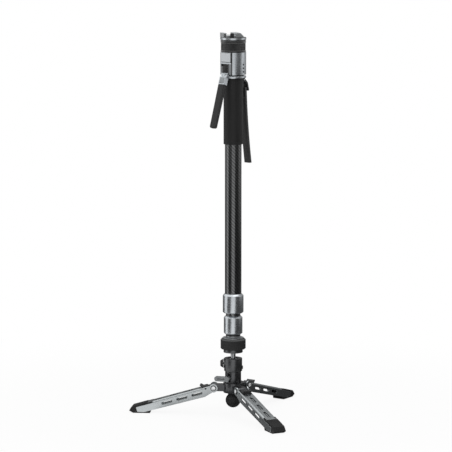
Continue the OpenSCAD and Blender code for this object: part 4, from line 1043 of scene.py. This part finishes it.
# Lamps and cards: three large soft boxes, and grey cards round the object and on the floor that only its
# polished surfaces see, as a product photographer sets them to draw dark lines along round metal. Each
# lamp has a place, a width and its watts, and is turned towards the lower half of the object.
lamps = {"key_box": ((-1.9, -2.6, 2.3), 2.4, 30.0), "fill_box": ((2.4, -1.6, 1.8), 2.0, 10.0),
         "top_box": ((0.3, 0.4, 2.8), 1.8, 12.0)}
lamp_target = (0.0, 0.0, 0.3)
card_distance = 1.1
head_height = 0.6
card_lift = 0.5 * mm
card_columns = 25
# each upright card: its first and last direction round the column, from the viewer's side to the right,
# where it starts on the floor, its height, and its grey at the floor and from the head up
cards = {"front_card": (-25.0, 22.0, 0.36, 1.8, 0.92, 0.68),
         "left_card": (-71.0, -25.0, 0.36, 1.8, 0.055, 0.20),
         "right_card": (22.0, 76.0, 0.17, 1.8, 0.05, 0.12),
         "side_card": (76.0, 114.0, 0.17, 1.8, 0.07, 0.74),
         "back_right_card": (114.0, 180.0, 0.17, 1.8, 0.11, 0.34),
         "back_left_card": (-180.0, -106.0, 0.17, 0.75, 0.10, 0.34)}
# each near card on the floor: its middle direction, its spread to each side, its reach and its grey
near_cards = {"near_card": (0.0, 180.0, 0.155, 0.14), "near_front_card": (15.0, 45.0, 0.18, 0.14),
              "near_right_card": (130.0, 30.0, 0.45, 0.045)}


def grey_card(name, points, faces, low_grey, high_grey):
    """A glowing card that only mirrors see: its grey changes from the floor up to the head's height."""
    card, tree = stage_mesh(name, points, faces)
    card.visible_camera = card.visible_diffuse = card.visible_shadow = card.visible_transmission = False
    part = wire(tree, "ShaderNodeSeparateXYZ", Vector=object_spot(tree))
    level = wire(tree, "ShaderNodeMapRange", Value=part.outputs["Z"], From_Max=head_height, To_Min=low_grey,
                 To_Max=high_grey)
    dim = wire(tree, "ShaderNodeEmission", Color=plain_white, Strength=level.outputs[0])
    wire(tree, "ShaderNodeOutputMaterial", Surface=dim.outputs[0])


def card_rays(first, last):
    """Level directions over a range of degrees from the viewer's side to the right: (sin a, -cos a, 0)."""
    turn = np.radians(np.linspace(first, last, card_columns))
    return np.stack([np.sin(turn), -np.cos(turn), 0.0 * turn], axis=1)


for lamp_name, (lamp_place, lamp_width, lamp_watts) in lamps.items():
    lamp = bpy.data.objects.new(lamp_name, bpy.data.lights.new(lamp_name, "AREA"))
    lamp.data.size = lamp_width
    lamp.data.energy = lamp_watts
    lamp.location = lamp_place
    sight = np.array(lamp_target) - np.array(lamp_place)
    lamp.rotation_euler = (math.atan2(math.hypot(sight[0], sight[1]), -sight[2]), 0.0,
                           math.atan2(sight[1], sight[0]) - math.pi / 2)
    scene.collection.objects.link(lamp)
ground = (solid_low.z + card_lift) * upward
for card_name, (first, last, inner, card_top, low_grey, high_grey) in cards.items():
    ray = card_rays(first, last)
    foot = card_distance * ray
    rows = np.array([inner * ray + ground, foot + ground, foot + card_top * upward])
    here = np.arange(2 * card_columns).reshape(2, card_columns)[:, :-1].ravel()
    quads = np.stack([here, here + 1, here + 1 + card_columns, here + card_columns], axis=1)
    grey_card(card_name, rows.reshape(-1, 3), quads, low_grey, high_grey)
for layer, (card_name, (middle, spread, reach, grey)) in enumerate(near_cards.items()):
    ray = card_rays(middle - spread, middle + spread)
    fan = np.vstack([reach * ray + ground, [ground]]) + (layer + 1) * card_lift * upward
    here = np.arange(card_columns - 1)
    grey_card(card_name, fan, np.stack([0 * here + card_columns, here, here + 1], axis=1), grey, grey)


# Camera: a long lens nearly five metres away, a little above the monopod's top and aimed slightly down.
# The picture is square, so the lens follows from the focal length counted in picture widths.
eye_place = (-0.0138, -4.8, 1.048)
look_down = math.radians(8.215)
sensor_width = 36.0
focal_widths = 5.5863
sight_end = 100.0
eye = bpy.data.objects.new("eye", bpy.data.cameras.new("eye"))
eye.data.sensor_width = sensor_width
eye.data.lens = sensor_width * focal_widths
eye.data.clip_end = sight_end
eye.location = eye_place
eye.rotation_euler = (math.pi / 2 - look_down, 0.0, 0.0)
scene.collection.objects.link(eye)
scene.camera = eye
